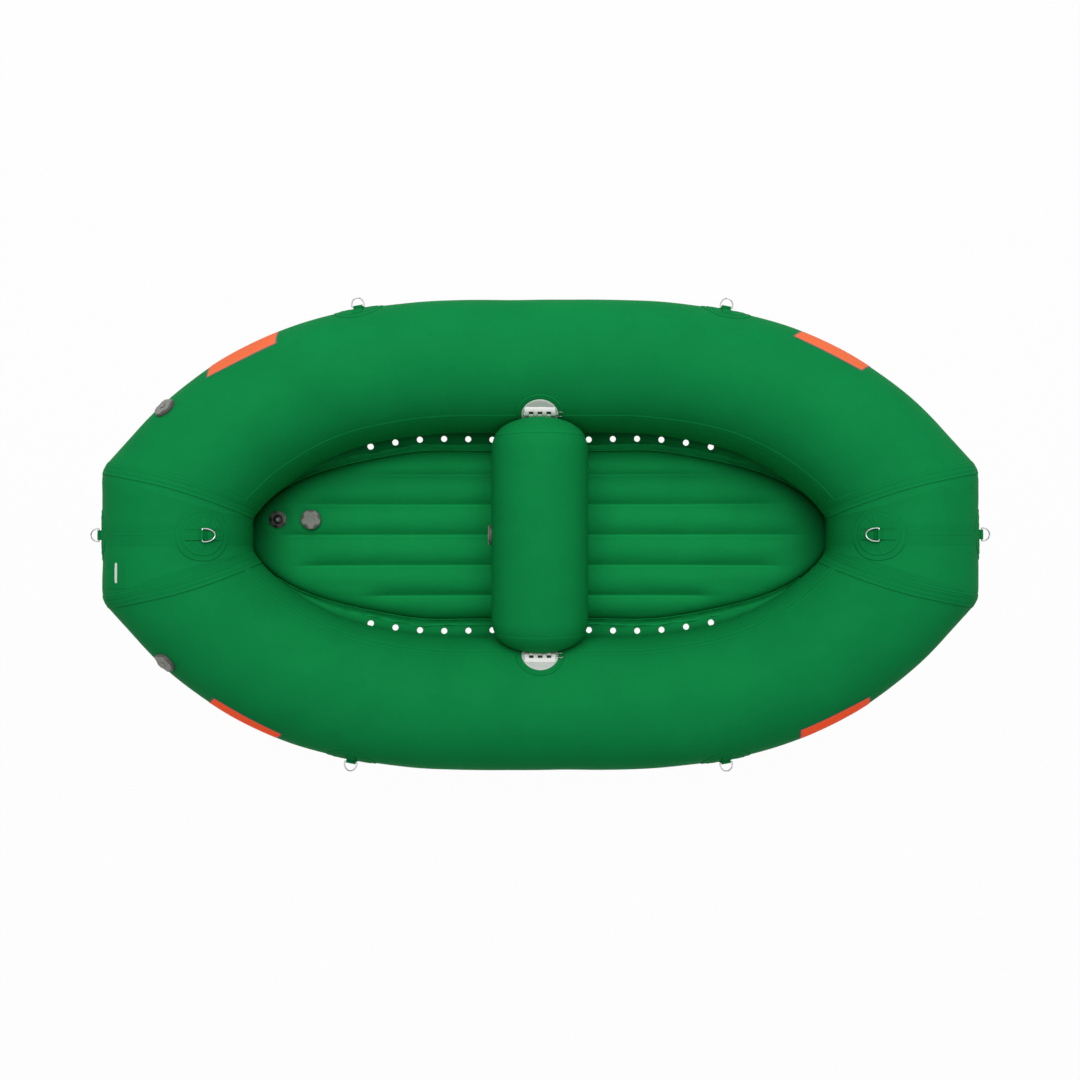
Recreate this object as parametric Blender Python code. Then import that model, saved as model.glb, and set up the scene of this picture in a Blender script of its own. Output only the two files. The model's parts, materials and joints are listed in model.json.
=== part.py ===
"""Self-bailing whitewater raft: inflated hull ring, channelled floor, one thwart and its fittings.

Metres, +Z up. +X points to the bow, +Y to port, and the raft stands on z = 0.
"""

import math

import bmesh
import bpy
import numpy as np
from mathutils import Matrix, Vector

# Clearances
TOUCH_GAP = 0.0003
SEAT_GAP = 0.0005

# Hull ring: two bent side tubes and two straight end tubes that meet at mitres
HULL_LENGTH = 3.006
HULL_BEAM = 1.72
TUBE_RADIUS = 0.24
TUBE_WALL = 0.0015
END_TUBE_HALF = 0.1465
MITRE_LEAD = 0.11
MID_ARC_RADIUS = 1.72
MID_ARC_ANGLE = math.radians(13.1)
MITRE_HEADING = math.radians(51.6)
ROCKER_RISE = 0.156
ROCKER_DELAY = 0.03595372711
TUBE_SIDES = 20
MID_ARC_STEPS = 2
END_ARC_STEPS = 4

# Tapes that cover the seams of the hull
TAPE_HALF_WIDTH = 0.022
TAPE_THICKNESS = 0.0008
CENTRE_TAPE_GAP = 0.00892315744
SEAM_STRIP_WIDTH = 0.026
SEAM_STRIP_FACET = 8
BAFFLE_THICKNESS = 0.0012

# Inflated floor
FLOOR_END_TUCK = 0.062
FLOOR_SIDE_GAP = 0.054
FLOOR_NOSE_BLUNTING = 0.005
FLOOR_THICKNESS = 0.105
FLOOR_MID_HEIGHT = 0.06
FLOOR_SKIN = 0.0015
CHANNEL_WIDTH_SHARE = 0.359
CHANNEL_DEPTH_SHARE = 0.35
CHANNEL_END_BLEND = 0.15
CHANNEL_END_SHARES = (0.92, 0.83, 0.553)
FLOOR_ROW_SHARES = (0, 0.3, 0.55, 0.72, 0.83, 0.91, 0.97, 1)
FLOOR_EDGE_SHARE = 0.97
FLOOR_COLUMN_SPACING_SHARE = 0.045
TOP_COLUMN_STEPS = 3
BOTTOM_COLUMN_STEPS = 2
WEB_THICKNESS = 0.001
WEB_ROWS = (5, 4, 3)

# Drain skirts between the floor and the side tubes
SKIRT_THICKNESS = 0.0012
SKIRT_CLEARANCE = TAPE_THICKNESS + 2 * TOUCH_GAP + SKIRT_THICKNESS / 2
SKIRT_TUBE_ANGLE = math.radians(225)
DRAIN_HOLE_RADIUS = 0.0125
DRAIN_PITCH = 0.0945
DRAIN_COUNT = 15
DRAIN_SIDES = 8
DRAIN_PLACE_SHARE = 0.35

# Thwart
THWART_RADIUS = 0.172
THWART_HINGE_DROP = 0.07980395582
THWART_SEAM_INSET = 0.025
THWART_DOME_DEPTH = 0.06
THWART_WALL = 0.0015
THWART_SLOT_GAP = 0.00158838008
DOME_RING_SHARES = (0.23, 0.45, 0.66, 0.86, 1)

# Hinge plates and pins that hold the thwart to the side tubes
HINGE_ANGLE = math.radians(142)
HINGE_PIN_STANDOFF = 0.01
HINGE_PLATE_RADIUS = 0.0655
HINGE_PLATE_DROP = 0.009
HINGE_PLATE_THICKNESS = 0.003
HINGE_COMB_SINK = 0.0018
HINGE_SEGMENT = 0.0155
HINGE_SEGMENTS = 7
HINGE_SIDE_GAP = 0.0004
HINGE_KNUCKLE_REACH = 0.006
HINGE_KNUCKLE_HEIGHT = 0.006
HINGE_BAR_START = 0.01
HINGE_BAR_END = 0.022
HINGE_LEAF_HEIGHT = 0.005
HINGE_LEAF_BAR_START = 0.008
HINGE_LEAF_BAR_END = 0.016
HINGE_LEAF_LENGTH = 0.13
HINGE_LEAF_START = 0.0085
HINGE_LEAF_THICKNESS = 0.003
HINGE_LEAF_STEPS = 5
HINGE_PLATE_SHARES = (0.5, 1)
PIN_RADIUS = 0.0028
PIN_HOLE_RADIUS = 0.0033
PIN_SIDES = 8
PIN_OVERHANG = 0.003
PIN_TAB_LENGTH = 0.010
PIN_TAB_SINK = 0.002
PIN_TAB_HALF_HEIGHT = 0.0045
PIN_TAB_HALF_THICKNESS = 0.0015
PIN_EYE_RADIUS = 0.0018
PIN_EYE_EDGE = 0.004
PULL_RING_RADIUS = 0.011
PULL_RING_WIRE = 0.001
PULL_RING_STEPS = 12

# D-rings and their patches
PATCH_RADIUS = 0.0875
PATCH_THICKNESS = 0.002
PATCH_SIDES = 14
PATCH_RING_SHARES = (0.33, 0.67, 1)
STRAP_WIDTH = 0.034
STRAP_THICKNESS = 0.0018
STRAP_HALF_LENGTH = 0.058
STRAP_SINK = 0.0008
STRAP_SLIT = 0.0006
STRAP_TAIL_SHARES = (1, 0.55, 0.12)
RING_STANDOFF = 0.008
RING_WIRE_RADIUS = 0.0025
RING_HALF_WIDTH = 0.0215
RING_DEPTH = 0.041
RING_CORNER = 0.003
RING_ARC_STEPS = 5
RING_WIRE_SIDES = 6
LOOP_CLEARANCE = 0.0006
LOOP_STEPS = 6
END_RING_ANGLE = math.radians(22.5)
TOP_RING_ANGLE = math.radians(128.7)
PORT_STERN_RING_X = 0.645
PORT_BOW_RING_X = 0.6625
STARBOARD_STERN_RING_X = 0.671
STARBOARD_BOW_RING_X = 0.66
RING_DROOP = math.radians(50)
RING_LYING = math.radians(97)

# Valves
VALVE_SIDES = 12
VALVE_BORE = 0.012
VALVE_STEM = 0.0215
VALVE_HOLE = 0.0225
VALVE_HOLE_SIDES = 16
VALVE_CUT_HALF = 0.02
VALVE_NUT_RADIUS = 0.03
VALVE_NUT_THICKNESS = 0.003
VALVE_FLANGE_RADIUS = 0.036
VALVE_FLANGE_THICKNESS = 0.003
VALVE_NECK_RADIUS = 0.019
VALVE_NECK_HEIGHT = 0.007
CAP_RADIUS = 0.0375
CAP_NOTCH_RADIUS = 0.0315
CAP_LOBES = 5
CAP_THICKNESS = 0.012
CAP_CHAMFER = 0.002
CAP_RECESS_RADIUS = 0.0205
HULL_VALVE_INSET = 0.205
HULL_VALVE_ANGLE = math.radians(43.5)
FLOOR_VALVE_INSET = 0.22
RELIEF_VALVE_INSET = 0.1
RELIEF_FLANGE_RADIUS = 0.03
RELIEF_NUT_RADIUS = 0.026
RELIEF_STEM = 0.0215
RELIEF_BORE = 0.013
RELIEF_RIM_HEIGHT = 0.005
POPPET_RADIUS = 0.0124
POPPET_BUTTON_RADIUS = 0.0065
POPPET_FOOT_THICKNESS = 0.002
POPPET_BUTTON_HEIGHT = 0.006
SEAT_MARGIN = 0.0006
SEAT_SAMPLES = 36

X_END = HULL_LENGTH / 2 - TUBE_RADIUS
Y_SIDE = HULL_BEAM / 2 - TUBE_RADIUS
MITRE_ANGLE = (MITRE_HEADING + math.pi / 2) / 2
MITRE_SPREAD = 1 / math.cos(MITRE_ANGLE - MITRE_HEADING)
CENTRE_TAPE_HALF_WIDTH = END_TUBE_HALF - TUBE_RADIUS / math.tan(MITRE_ANGLE) - TAPE_HALF_WIDTH - CENTRE_TAPE_GAP
LEAD_X = X_END - MITRE_LEAD * math.cos(MITRE_HEADING)
LEAD_Y = END_TUBE_HALF + MITRE_LEAD * math.sin(MITRE_HEADING)
MID_ARC_DROP = MID_ARC_RADIUS * (1 - math.cos(MID_ARC_ANGLE))
END_ARC_RADIUS = (Y_SIDE - LEAD_Y - MID_ARC_DROP) / (math.cos(MID_ARC_ANGLE) - math.cos(MITRE_HEADING))
END_ARC_RUN = END_ARC_RADIUS * (math.sin(MITRE_HEADING) - math.sin(MID_ARC_ANGLE))
STRAIGHT_HALF = LEAD_X - MID_ARC_RADIUS * math.sin(MID_ARC_ANGLE) - END_ARC_RUN
ROCKER_START = STRAIGHT_HALF + ROCKER_DELAY
MID_ARC_END = STRAIGHT_HALF + MID_ARC_RADIUS * MID_ARC_ANGLE
LEAD_START = MID_ARC_END + END_ARC_RADIUS * (MITRE_HEADING - MID_ARC_ANGLE)
SIDE_HALF = LEAD_START + MITRE_LEAD
FACET_ANGLE = 2 * math.pi / TUBE_SIDES
AXIS_HEIGHT = TUBE_RADIUS * math.cos(FACET_ANGLE / 2)
FLOOR_HALF_LENGTH = X_END - TUBE_RADIUS + FLOOR_END_TUCK
FLOOR_HALF_WIDTH = Y_SIDE - TUBE_RADIUS - FLOOR_SIDE_GAP
THWART_SLEEVE_HALF = Y_SIDE - TUBE_RADIUS - THWART_SEAM_INSET
THWART_HEIGHT = AXIS_HEIGHT + TUBE_RADIUS * math.sin(HINGE_ANGLE) - THWART_HINGE_DROP
CHANNEL_WIDTH = FLOOR_HALF_WIDTH * CHANNEL_WIDTH_SHARE
TUBE_ANGLES = [(k + 0.5) * FACET_ANGLE for k in range(TUBE_SIDES)]
PORT = 1
STARBOARD = -1
BOW = 1
STERN = -1
SIDE_NAMES = {PORT: "port", STARBOARD: "starboard"}
SIDE_RING_PLACES = {
    (PORT, STERN): PORT_STERN_RING_X,
    (PORT, BOW): PORT_BOW_RING_X,
    (STARBOARD, STERN): STARBOARD_STERN_RING_X,
    (STARBOARD, BOW): STARBOARD_BOW_RING_X,
}
END_NAMES = {BOW: "bow", STERN: "stern"}


def linear(red, green, blue):
    """Linear colour of an 8-bit screen colour."""
    values = []
    for channel in (red, green, blue):
        share = channel / 255
        values.append(share / 12.92 if share <= 0.04045 else ((share + 0.055) / 1.055) ** 2.4)
    return (*values, 1)


def make_material(name, colour, roughness, metallic=0):
    material = bpy.data.materials.new(name)
    material.use_nodes = True
    shader = material.node_tree.nodes["Principled BSDF"]
    shader.inputs["Base Color"].default_value = linear(*colour)
    shader.inputs["Roughness"].default_value = roughness
    shader.inputs["Metallic"].default_value = metallic
    material.diffuse_color = linear(*colour)
    return material


def add_object(name, bm, material, parent, matrix=None, sharp_degrees=35):
    """Closed mesh with outward faces as a named object under the raft's empty."""
    bmesh.ops.recalc_face_normals(bm, faces=bm.faces)
    mesh = bpy.data.meshes.new(name)
    bm.to_mesh(mesh)
    bm.free()
    mesh.shade_smooth()
    mesh.set_sharp_from_angle(angle=math.radians(sharp_degrees))
    mesh.materials.append(material)
    return place_mesh(name, mesh, parent, matrix)


def place_mesh(name, mesh, parent, matrix=None):
    """Object with a mesh, its origin where the matrix puts it, kept there under its parent."""
    piece = bpy.data.objects.new(name, mesh)
    bpy.context.scene.collection.objects.link(piece)
    place_under(piece, parent, matrix or Matrix())
    return piece


def place_under(piece, parent, matrix):
    """World matrix of a piece as its own place under a parent whose own parent stands at the origin."""
    piece.parent = parent
    piece.matrix_basis = parent.matrix_basis.inverted() @ matrix


def sheet_solid(front, back, wrap=False):
    """Closed body between two like grids of points; wrap joins the last column to the first."""
    rows = len(front)
    columns = len(front[0])
    bm = bmesh.new()
    near = [[bm.verts.new(point) for point in row] for row in front]
    far = [[bm.verts.new(point) for point in row] for row in back]
    steps = columns if wrap else columns - 1
    for i in range(rows - 1):
        for j in range(steps):
            k = (j + 1) % columns
            bm.faces.new((near[i][j], near[i][k], near[i + 1][k], near[i + 1][j]))
            bm.faces.new((far[i][j], far[i + 1][j], far[i + 1][k], far[i][k]))
    for i in (0, rows - 1):
        for j in range(steps):
            k = (j + 1) % columns
            bm.faces.new((near[i][j], far[i][j], far[i][k], near[i][k]))
    if not wrap:
        for j in (0, columns - 1):
            for i in range(rows - 1):
                bm.faces.new((near[i][j], near[i + 1][j], far[i + 1][j], far[i][j]))
    return bm


def polar_solid(front_centre, front_rings, back_centre, back_rings):
    """Closed disc-like body between two like fans of rings, the last ring of each being its rim."""
    count = len(front_rings[0])
    bm = bmesh.new()
    for centre, rings, flip in ((front_centre, front_rings, False), (back_centre, back_rings, True)):
        middle = bm.verts.new(centre)
        loops = [[bm.verts.new(point) for point in ring] for ring in rings]
        for j in range(count):
            k = (j + 1) % count
            corners = [middle, loops[0][j], loops[0][k]]
            bm.faces.new(corners[::-1] if flip else corners)
            for inner, outer in zip(loops, loops[1:]):
                corners = [inner[j], outer[j], outer[k], inner[k]]
                bm.faces.new(corners[::-1] if flip else corners)
        if flip:
            back_rim = loops[-1]
        else:
            front_rim = loops[-1]
    for j in range(count):
        k = (j + 1) % count
        bm.faces.new((front_rim[j], back_rim[j], back_rim[k], front_rim[k]))
    return bm


def turned_solid(profile, sides):
    """Closed body from a profile of (radius, height) points about Z, open loop if it starts on the axis."""
    bm = bmesh.new()
    on_axis = profile[0][0] == 0
    rings = []
    for radius, height in profile:
        if radius == 0:
            rings.append([bm.verts.new((0, 0, height))])
            continue
        angles = [2 * math.pi * k / sides for k in range(sides)]
        rings.append([bm.verts.new((radius * math.cos(t), radius * math.sin(t), height)) for t in angles])
    pairs = list(zip(rings, rings[1:])) if on_axis else list(zip(rings, rings[1:] + rings[:1]))
    for low, high in pairs:
        for j in range(sides):
            k = (j + 1) % sides
            if len(low) == 1:
                bm.faces.new((low[0], high[j], high[k]))
            elif len(high) == 1:
                bm.faces.new((low[j], high[0], low[k]))
            else:
                bm.faces.new((low[j], high[j], high[k], low[k]))
    return bm


def outline_solid(outline, low, high):
    """Flat outline of (x, y) points extruded along Z from low to high."""
    bm = bmesh.new()
    bottom = [bm.verts.new((x, y, low)) for x, y in outline]
    top = [bm.verts.new((x, y, high)) for x, y in outline]
    bm.faces.new(bottom[::-1])
    bm.faces.new(top)
    for j in range(len(outline)):
        k = (j + 1) % len(outline)
        bm.faces.new((bottom[j], bottom[k], top[k], top[j]))
    return bm


def guide(name, bm, parent, matrix=None):
    """Hidden body that a Boolean of another piece uses."""
    bmesh.ops.recalc_face_normals(bm, faces=bm.faces)
    mesh = bpy.data.meshes.new(name)
    bm.to_mesh(mesh)
    bm.free()
    piece = place_mesh(name, mesh, parent, matrix)
    piece.hide_render = True
    piece.display_type = "WIRE"
    return piece


def combine(piece, other, operation):
    """Boolean of a piece with a hidden guide."""
    modifier = piece.modifiers.new(operation.lower(), "BOOLEAN")
    modifier.operation = operation
    modifier.object = other


def basis(x_axis, y_axis, z_axis, origin):
    """Matrix that takes the local axes to three world directions at an origin."""
    matrix = Matrix((x_axis, y_axis, z_axis)).transposed().to_4x4()
    matrix.translation = origin
    return matrix


def chord_drop(spacing, radius):
    """How far a chord between two points this far apart dips below a circle."""
    return radius - math.sqrt(radius**2 - (spacing / 2) ** 2)


def hull_rise(x):
    """Height that the rocker adds at a distance along the raft."""
    share = max(0, (abs(x) - ROCKER_START) / (X_END - ROCKER_START))
    return ROCKER_RISE * share**2


def plan_curve(s):
    """Plan point and heading of the port side tube's axis, a length s from midship towards the bow."""
    run = abs(s)
    if run <= STRAIGHT_HALF:
        x = run
        y = Y_SIDE
        heading = 0
    elif run <= MID_ARC_END:
        heading = (run - STRAIGHT_HALF) / MID_ARC_RADIUS
        x = STRAIGHT_HALF + MID_ARC_RADIUS * math.sin(heading)
        y = Y_SIDE - MID_ARC_RADIUS * (1 - math.cos(heading))
    elif run <= LEAD_START:
        heading = MID_ARC_ANGLE + (run - MID_ARC_END) / END_ARC_RADIUS
        x = LEAD_X - END_ARC_RADIUS * (math.sin(MITRE_HEADING) - math.sin(heading))
        y = LEAD_Y + END_ARC_RADIUS * (math.cos(heading) - math.cos(MITRE_HEADING))
    else:
        heading = MITRE_HEADING
        x = X_END - (SIDE_HALF - run) * math.cos(heading)
        y = END_TUBE_HALF + (SIDE_HALF - run) * math.sin(heading)
    end = math.copysign(1, s)
    return end * x, y, end * heading


def side_frame(s, skewed=False):
    """Axis point of the port tube and its outward plan direction, along the mitre where skewed."""
    x, y, heading = plan_curve(s)
    spread = 1
    if skewed:
        heading = math.copysign(MITRE_ANGLE, s)
        spread = MITRE_SPREAD
    centre = Vector((x, y, AXIS_HEIGHT + hull_rise(x)))
    return centre, spread * Vector((math.sin(heading), math.cos(heading), 0))


def around(centre, outward, angle, lift):
    """Point of a tube's skin at an angle above its outer side, lifted off the skin."""
    radius = TUBE_RADIUS + lift
    return centre + radius * math.cos(angle) * outward + Vector((0, 0, radius * math.sin(angle)))


def mirrored(point, side):
    return Vector((point.x, side * point.y, point.z))


def side_stations():
    """Lengths from midship at which the side tube has a ring, with whether the ring is mitred."""
    half = [(STRAIGHT_HALF, False)]
    for k in range(1, MID_ARC_STEPS + 1):
        half.append((STRAIGHT_HALF + (MID_ARC_END - STRAIGHT_HALF) * k / MID_ARC_STEPS, False))
    for k in range(1, END_ARC_STEPS + 1):
        half.append((MID_ARC_END + (LEAD_START - MID_ARC_END) * k / END_ARC_STEPS, False))
    half.append((SIDE_HALF - TAPE_HALF_WIDTH, True))
    half.append((SIDE_HALF - TOUCH_GAP, True))
    return [(-s, skewed) for s, skewed in reversed(half)] + half


SIDE_STATIONS = side_stations()


def loft_point(side, s, angle, lift):
    """Point over the straight-sided facets between two rings of a side tube."""
    for (low, low_skew), (high, high_skew) in zip(SIDE_STATIONS, SIDE_STATIONS[1:]):
        if s <= high:
            break
    share = (s - low) / (high - low)
    start = around(*side_frame(low, low_skew), angle, lift)
    end = around(*side_frame(high, high_skew), angle, lift)
    return mirrored(start.lerp(end, share), side)


def side_point(side, s, angle, lift):
    """Point over the smooth skin of a side tube."""
    return mirrored(around(*side_frame(s), angle, lift), side)


def end_point(end, y, angle, lift, skewed=False):
    """Point over the skin of an end tube; a skewed ring lies along the mitre on its own half."""
    outward = Vector((1, 0, 0))
    if skewed:
        outward = MITRE_SPREAD * Vector((math.sin(MITRE_ANGLE), math.copysign(math.cos(MITRE_ANGLE), y), 0))
    point = around(Vector((X_END, y, AXIS_HEIGHT + ROCKER_RISE)), outward, angle, lift)
    return Vector((end * point.x, point.y, point.z))


def make_side_tube(side, material, raft):
    layers = []
    for lift in (0, -TUBE_WALL):
        rows = [[around(*side_frame(s, skewed), t, lift) for t in TUBE_ANGLES] for s, skewed in SIDE_STATIONS]
        layers.append([[mirrored(point, side) for point in row] for row in rows])
    return add_object(f"{SIDE_NAMES[side]}_side_tube", sheet_solid(*layers, wrap=True), material, raft)


def end_rows(end, lift):
    mitre = END_TUBE_HALF - TOUCH_GAP
    tape = END_TUBE_HALF - TAPE_HALF_WIDTH
    stations = [(-mitre, True), (-tape, True), (tape, True), (mitre, True)]
    return [[end_point(end, y, t, lift, skewed) for t in TUBE_ANGLES] for y, skewed in stations]


def make_end_tube(end, material, raft):
    bm = sheet_solid(end_rows(end, 0), end_rows(end, -TUBE_WALL), wrap=True)
    return add_object(f"{END_NAMES[end]}_tube", bm, material, raft)


def make_baffle(end, material, raft):
    """Diaphragm that splits the hull into its two air chambers."""
    lift = -TUBE_WALL - TOUCH_GAP
    faces = []
    for y in (-BAFFLE_THICKNESS / 2, BAFFLE_THICKNESS / 2):
        faces.append(end_point(end, y, 0, -TUBE_RADIUS))
        faces.append([[end_point(end, y, t, lift) for t in TUBE_ANGLES]])
    return add_object(f"{END_NAMES[end]}_baffle", polar_solid(*faces), material, raft)


def make_mitre_tape(side, end, material, raft):
    layers = []
    for lift in (TOUCH_GAP + TAPE_THICKNESS, TOUCH_GAP):
        rows = []
        for s in (SIDE_HALF - TAPE_HALF_WIDTH, SIDE_HALF):
            rows.append([mirrored(around(*side_frame(end * s, True), t, lift), side) for t in TUBE_ANGLES])
        y = side * (END_TUBE_HALF - TAPE_HALF_WIDTH)
        rows.append([end_point(end, y, t, lift, True) for t in TUBE_ANGLES])
        layers.append(rows)
    name = f"{SIDE_NAMES[side]}_{END_NAMES[end]}_mitre_tape"
    return add_object(name, sheet_solid(*layers, wrap=True), material, raft)


def make_centre_tape(end, material, raft):
    layers = []
    for lift in (TOUCH_GAP + TAPE_THICKNESS, TOUCH_GAP):
        rows = []
        for y in (-CENTRE_TAPE_HALF_WIDTH, CENTRE_TAPE_HALF_WIDTH):
            rows.append([end_point(end, y, t, lift) for t in TUBE_ANGLES])
        layers.append(rows)
    return add_object(f"{END_NAMES[end]}_centre_tape", sheet_solid(*layers, wrap=True), material, raft)


def make_seam_strip(side, material, raft):
    """Flat strip along one facet of the side tube, over the lengthwise seam of its sleeve."""
    middle = SEAM_STRIP_FACET * FACET_ANGLE
    half_angle = math.asin(SEAM_STRIP_WIDTH / 2 / TUBE_RADIUS)
    apothem = TUBE_RADIUS * math.cos(FACET_ANGLE / 2)
    stations = [s for s, skewed in SIDE_STATIONS if not skewed]
    layers = []
    for height in (SEAT_GAP + TAPE_THICKNESS, SEAT_GAP):
        lift = (apothem + height) / math.cos(half_angle) - TUBE_RADIUS
        rows = [[loft_point(side, s, middle + turn, lift) for turn in (-half_angle, half_angle)] for s in stations]
        layers.append(rows)
    return add_object(f"{SIDE_NAMES[side]}_seam_strip", sheet_solid(*layers), material, raft)


def floor_half_width(x):
    return FLOOR_HALF_WIDTH * math.sqrt(1 - (abs(x) / (FLOOR_HALF_LENGTH + FLOOR_NOSE_BLUNTING)) ** 3)


def floor_middle(x):
    return FLOOR_MID_HEIGHT + hull_rise(x)


def smooth_share(value):
    share = min(1, max(0, value))
    return share * share * (3 - 2 * share)


def floor_bulge(x, y):
    """Height of the inflated floor over its mid-plane: a pillow with sewn channels that fade out."""
    across = min(1, abs(y) / floor_half_width(x))
    along = abs(x) / FLOOR_HALF_LENGTH
    pillow = math.sqrt(1 - across**6) * math.sqrt(max(0, 1 - along**10))
    seam = min(len(CHANNEL_END_SHARES) - 1, round(abs(y) / CHANNEL_WIDTH))
    off_seam = min(1, abs(abs(y) / CHANNEL_WIDTH - seam) * 2)
    fade = smooth_share((FLOOR_HALF_LENGTH * CHANNEL_END_SHARES[seam] - abs(x)) / CHANNEL_END_BLEND)
    groove = CHANNEL_DEPTH_SHARE * (1 - off_seam) ** 2 * fade
    return FLOOR_THICKNESS / 2 * pillow * (1 - groove)


def floor_columns(steps):
    """Distances from the centre line of the floor's grid lines, a few to each channel."""
    seams = len(CHANNEL_END_SHARES)
    columns = [CHANNEL_WIDTH * (k + i / steps) for k in range(seams - 1) for i in range(steps)]
    last = CHANNEL_WIDTH * (seams - 1)
    columns += [last + (FLOOR_HALF_WIDTH - last) * i / steps for i in range(steps)]
    return columns + [FLOOR_HALF_WIDTH * FLOOR_EDGE_SHARE, FLOOR_HALF_WIDTH]


def floor_rows():
    half = [FLOOR_HALF_LENGTH * share for share in FLOOR_ROW_SHARES]
    return [-x for x in reversed(half[1:])] + half


def floor_grid_lines(x, steps):
    """Grid line places across the floor at x, straight until the outline draws them in."""
    columns = floor_columns(steps)
    width = floor_half_width(x)
    last = len(columns) - 1
    half = [min(y, width * (1 - (last - j) * FLOOR_COLUMN_SPACING_SHARE)) for j, y in enumerate(columns)]
    half[last] = width
    return [-y for y in reversed(half[1:])] + half


def make_floor_skin(name, up, steps, material, raft):
    layers = []
    for thickness in (FLOOR_SKIN, 0):
        rows = []
        for x in floor_rows():
            row = []
            for y in floor_grid_lines(x, steps):
                height = TOUCH_GAP + floor_bulge(x, y) + thickness
                row.append(Vector((x, y, floor_middle(x) + up * height)))
            rows.append(row)
        layers.append(rows)
    return add_object(name, sheet_solid(*layers), material, raft)


def make_web(name, seam, side, material, raft):
    """Upright fabric strip inside the floor that ties the two skins together along a seam."""
    y = side * seam * CHANNEL_WIDTH
    half = [FLOOR_HALF_LENGTH * share for share in FLOOR_ROW_SHARES[:WEB_ROWS[seam]]]
    faces = []
    for offset in (-WEB_THICKNESS / 2, WEB_THICKNESS / 2):
        rows = []
        for x in [-x for x in reversed(half[1:])] + half:
            reach = floor_bulge(x, y)
            rows.append([Vector((x, y + offset, floor_middle(x) + turn * reach)) for turn in (-1, 1)])
        faces.append(rows)
    return add_object(name, sheet_solid(*faces), material, raft)


def skirt_station(x):
    """Length along the side tube whose skirt edge lies level with x."""
    samples = np.linspace(-SIDE_HALF, SIDE_HALF, 401)
    places = [loft_point(PORT, s, SKIRT_TUBE_ANGLE, 0).x for s in samples]
    return float(np.interp(x, places, samples))


def skirt_edge_points(side, x, s):
    """Floor edge and tube edge of the skirt's mid-surface at a place along the floor and the tube."""
    inner = Vector((x, side * (floor_half_width(x) + SKIRT_CLEARANCE), floor_middle(x)))
    return inner, loft_point(side, s, SKIRT_TUBE_ANGLE, SKIRT_CLEARANCE)


def skirt_rows(side):
    """Edge points of the skirt from stern to bow: a row on each drain pitch, then round the floor's nose."""
    drained = [(k + 0.5) * DRAIN_PITCH for k in range(DRAIN_COUNT // 2 + 1)]
    lines = [(x, skirt_station(x)) for x in drained]
    start_x, start_s = lines[-1]
    for share in FLOOR_ROW_SHARES:
        x = FLOOR_HALF_LENGTH * share
        if x > start_x:
            run = (x - start_x) / (FLOOR_HALF_LENGTH - start_x)
            lines.append((x, start_s + (SIDE_HALF - TAPE_HALF_WIDTH - start_s) * run))
    nose = FLOOR_HALF_LENGTH + SKIRT_CLEARANCE
    height = floor_middle(FLOOR_HALF_LENGTH)
    rows = []
    for end in (STERN, BOW):
        half = [skirt_edge_points(side, end * x, end * s) for x, s in lines]
        corner = Vector((end * nose, side * floor_half_width(FLOOR_HALF_LENGTH), height))
        half.append((corner, loft_point(side, end * (SIDE_HALF - TOUCH_GAP), SKIRT_TUBE_ANGLE, SKIRT_CLEARANCE)))
        middle = Vector((end * nose, side * TOUCH_GAP, height))
        half.append((middle, end_point(end, side * TOUCH_GAP, SKIRT_TUBE_ANGLE, SKIRT_CLEARANCE)))
        rows = half[::-1] if end == STERN else rows + half
    return rows


def make_drain_skirt(side, material, raft):
    """Fabric strip that joins the floor's edge to the tubes, with the bailing holes along the side."""
    rows = skirt_rows(side)
    layers = [[], []]
    for k, (inner, outer) in enumerate(rows):
        before = rows[max(0, k - 1)]
        after = rows[min(len(rows) - 1, k + 1)]
        along = after[0] + after[1] - before[0] - before[1]
        half = (outer - inner).cross(along).normalized() * SKIRT_THICKNESS / 2
        layers[0].append([inner + half, outer + half])
        layers[1].append([inner - half, outer - half])
    skirt = add_object(f"{SIDE_NAMES[side]}_drain_skirt", sheet_solid(*layers), material, raft)
    cutter = bmesh.new()
    for k in range(DRAIN_COUNT):
        x = (k - (DRAIN_COUNT - 1) / 2) * DRAIN_PITCH
        inner, outer = skirt_edge_points(side, x, skirt_station(x))
        place = Matrix.Translation(inner.lerp(outer, DRAIN_PLACE_SHARE))
        bmesh.ops.create_cone(cutter, cap_ends=True, segments=DRAIN_SIDES, radius1=DRAIN_HOLE_RADIUS,
                              radius2=DRAIN_HOLE_RADIUS, depth=2 * DRAIN_HOLE_RADIUS, matrix=place)
    combine(skirt, guide(f"{SIDE_NAMES[side]}_drain_cutter", cutter, raft), "DIFFERENCE")
    return skirt


def thwart_ring(y, radius):
    return [Vector((radius * math.cos(t), y, THWART_HEIGHT + radius * math.sin(t))) for t in TUBE_ANGLES]


def make_thwart_sleeve(material, raft):
    layers = []
    for radius in (THWART_RADIUS, THWART_RADIUS - THWART_WALL):
        layers.append([thwart_ring(turn * THWART_SLEEVE_HALF, radius) for turn in (-1, 1)])
    return add_object("thwart_sleeve", sheet_solid(*layers, wrap=True), material, raft)


def dome_reach(share):
    """Distance of the thwart's end cap from its sleeve's middle at a share of its radius."""
    return THWART_SLEEVE_HALF + TOUCH_GAP + THWART_DOME_DEPTH * math.sqrt(1 - share**2)


def pressed_reach(reach, height):
    """Reach of the dome at a height, held off the side tube by the room for the hinge plates."""
    slot = leaf_lift() + HINGE_LEAF_THICKNESS + THWART_SLOT_GAP
    off = (TUBE_RADIUS + slot) ** 2 - (height - AXIS_HEIGHT) ** 2
    if off <= 0:
        return reach
    return min(reach, Y_SIDE - math.sqrt(off))


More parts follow.
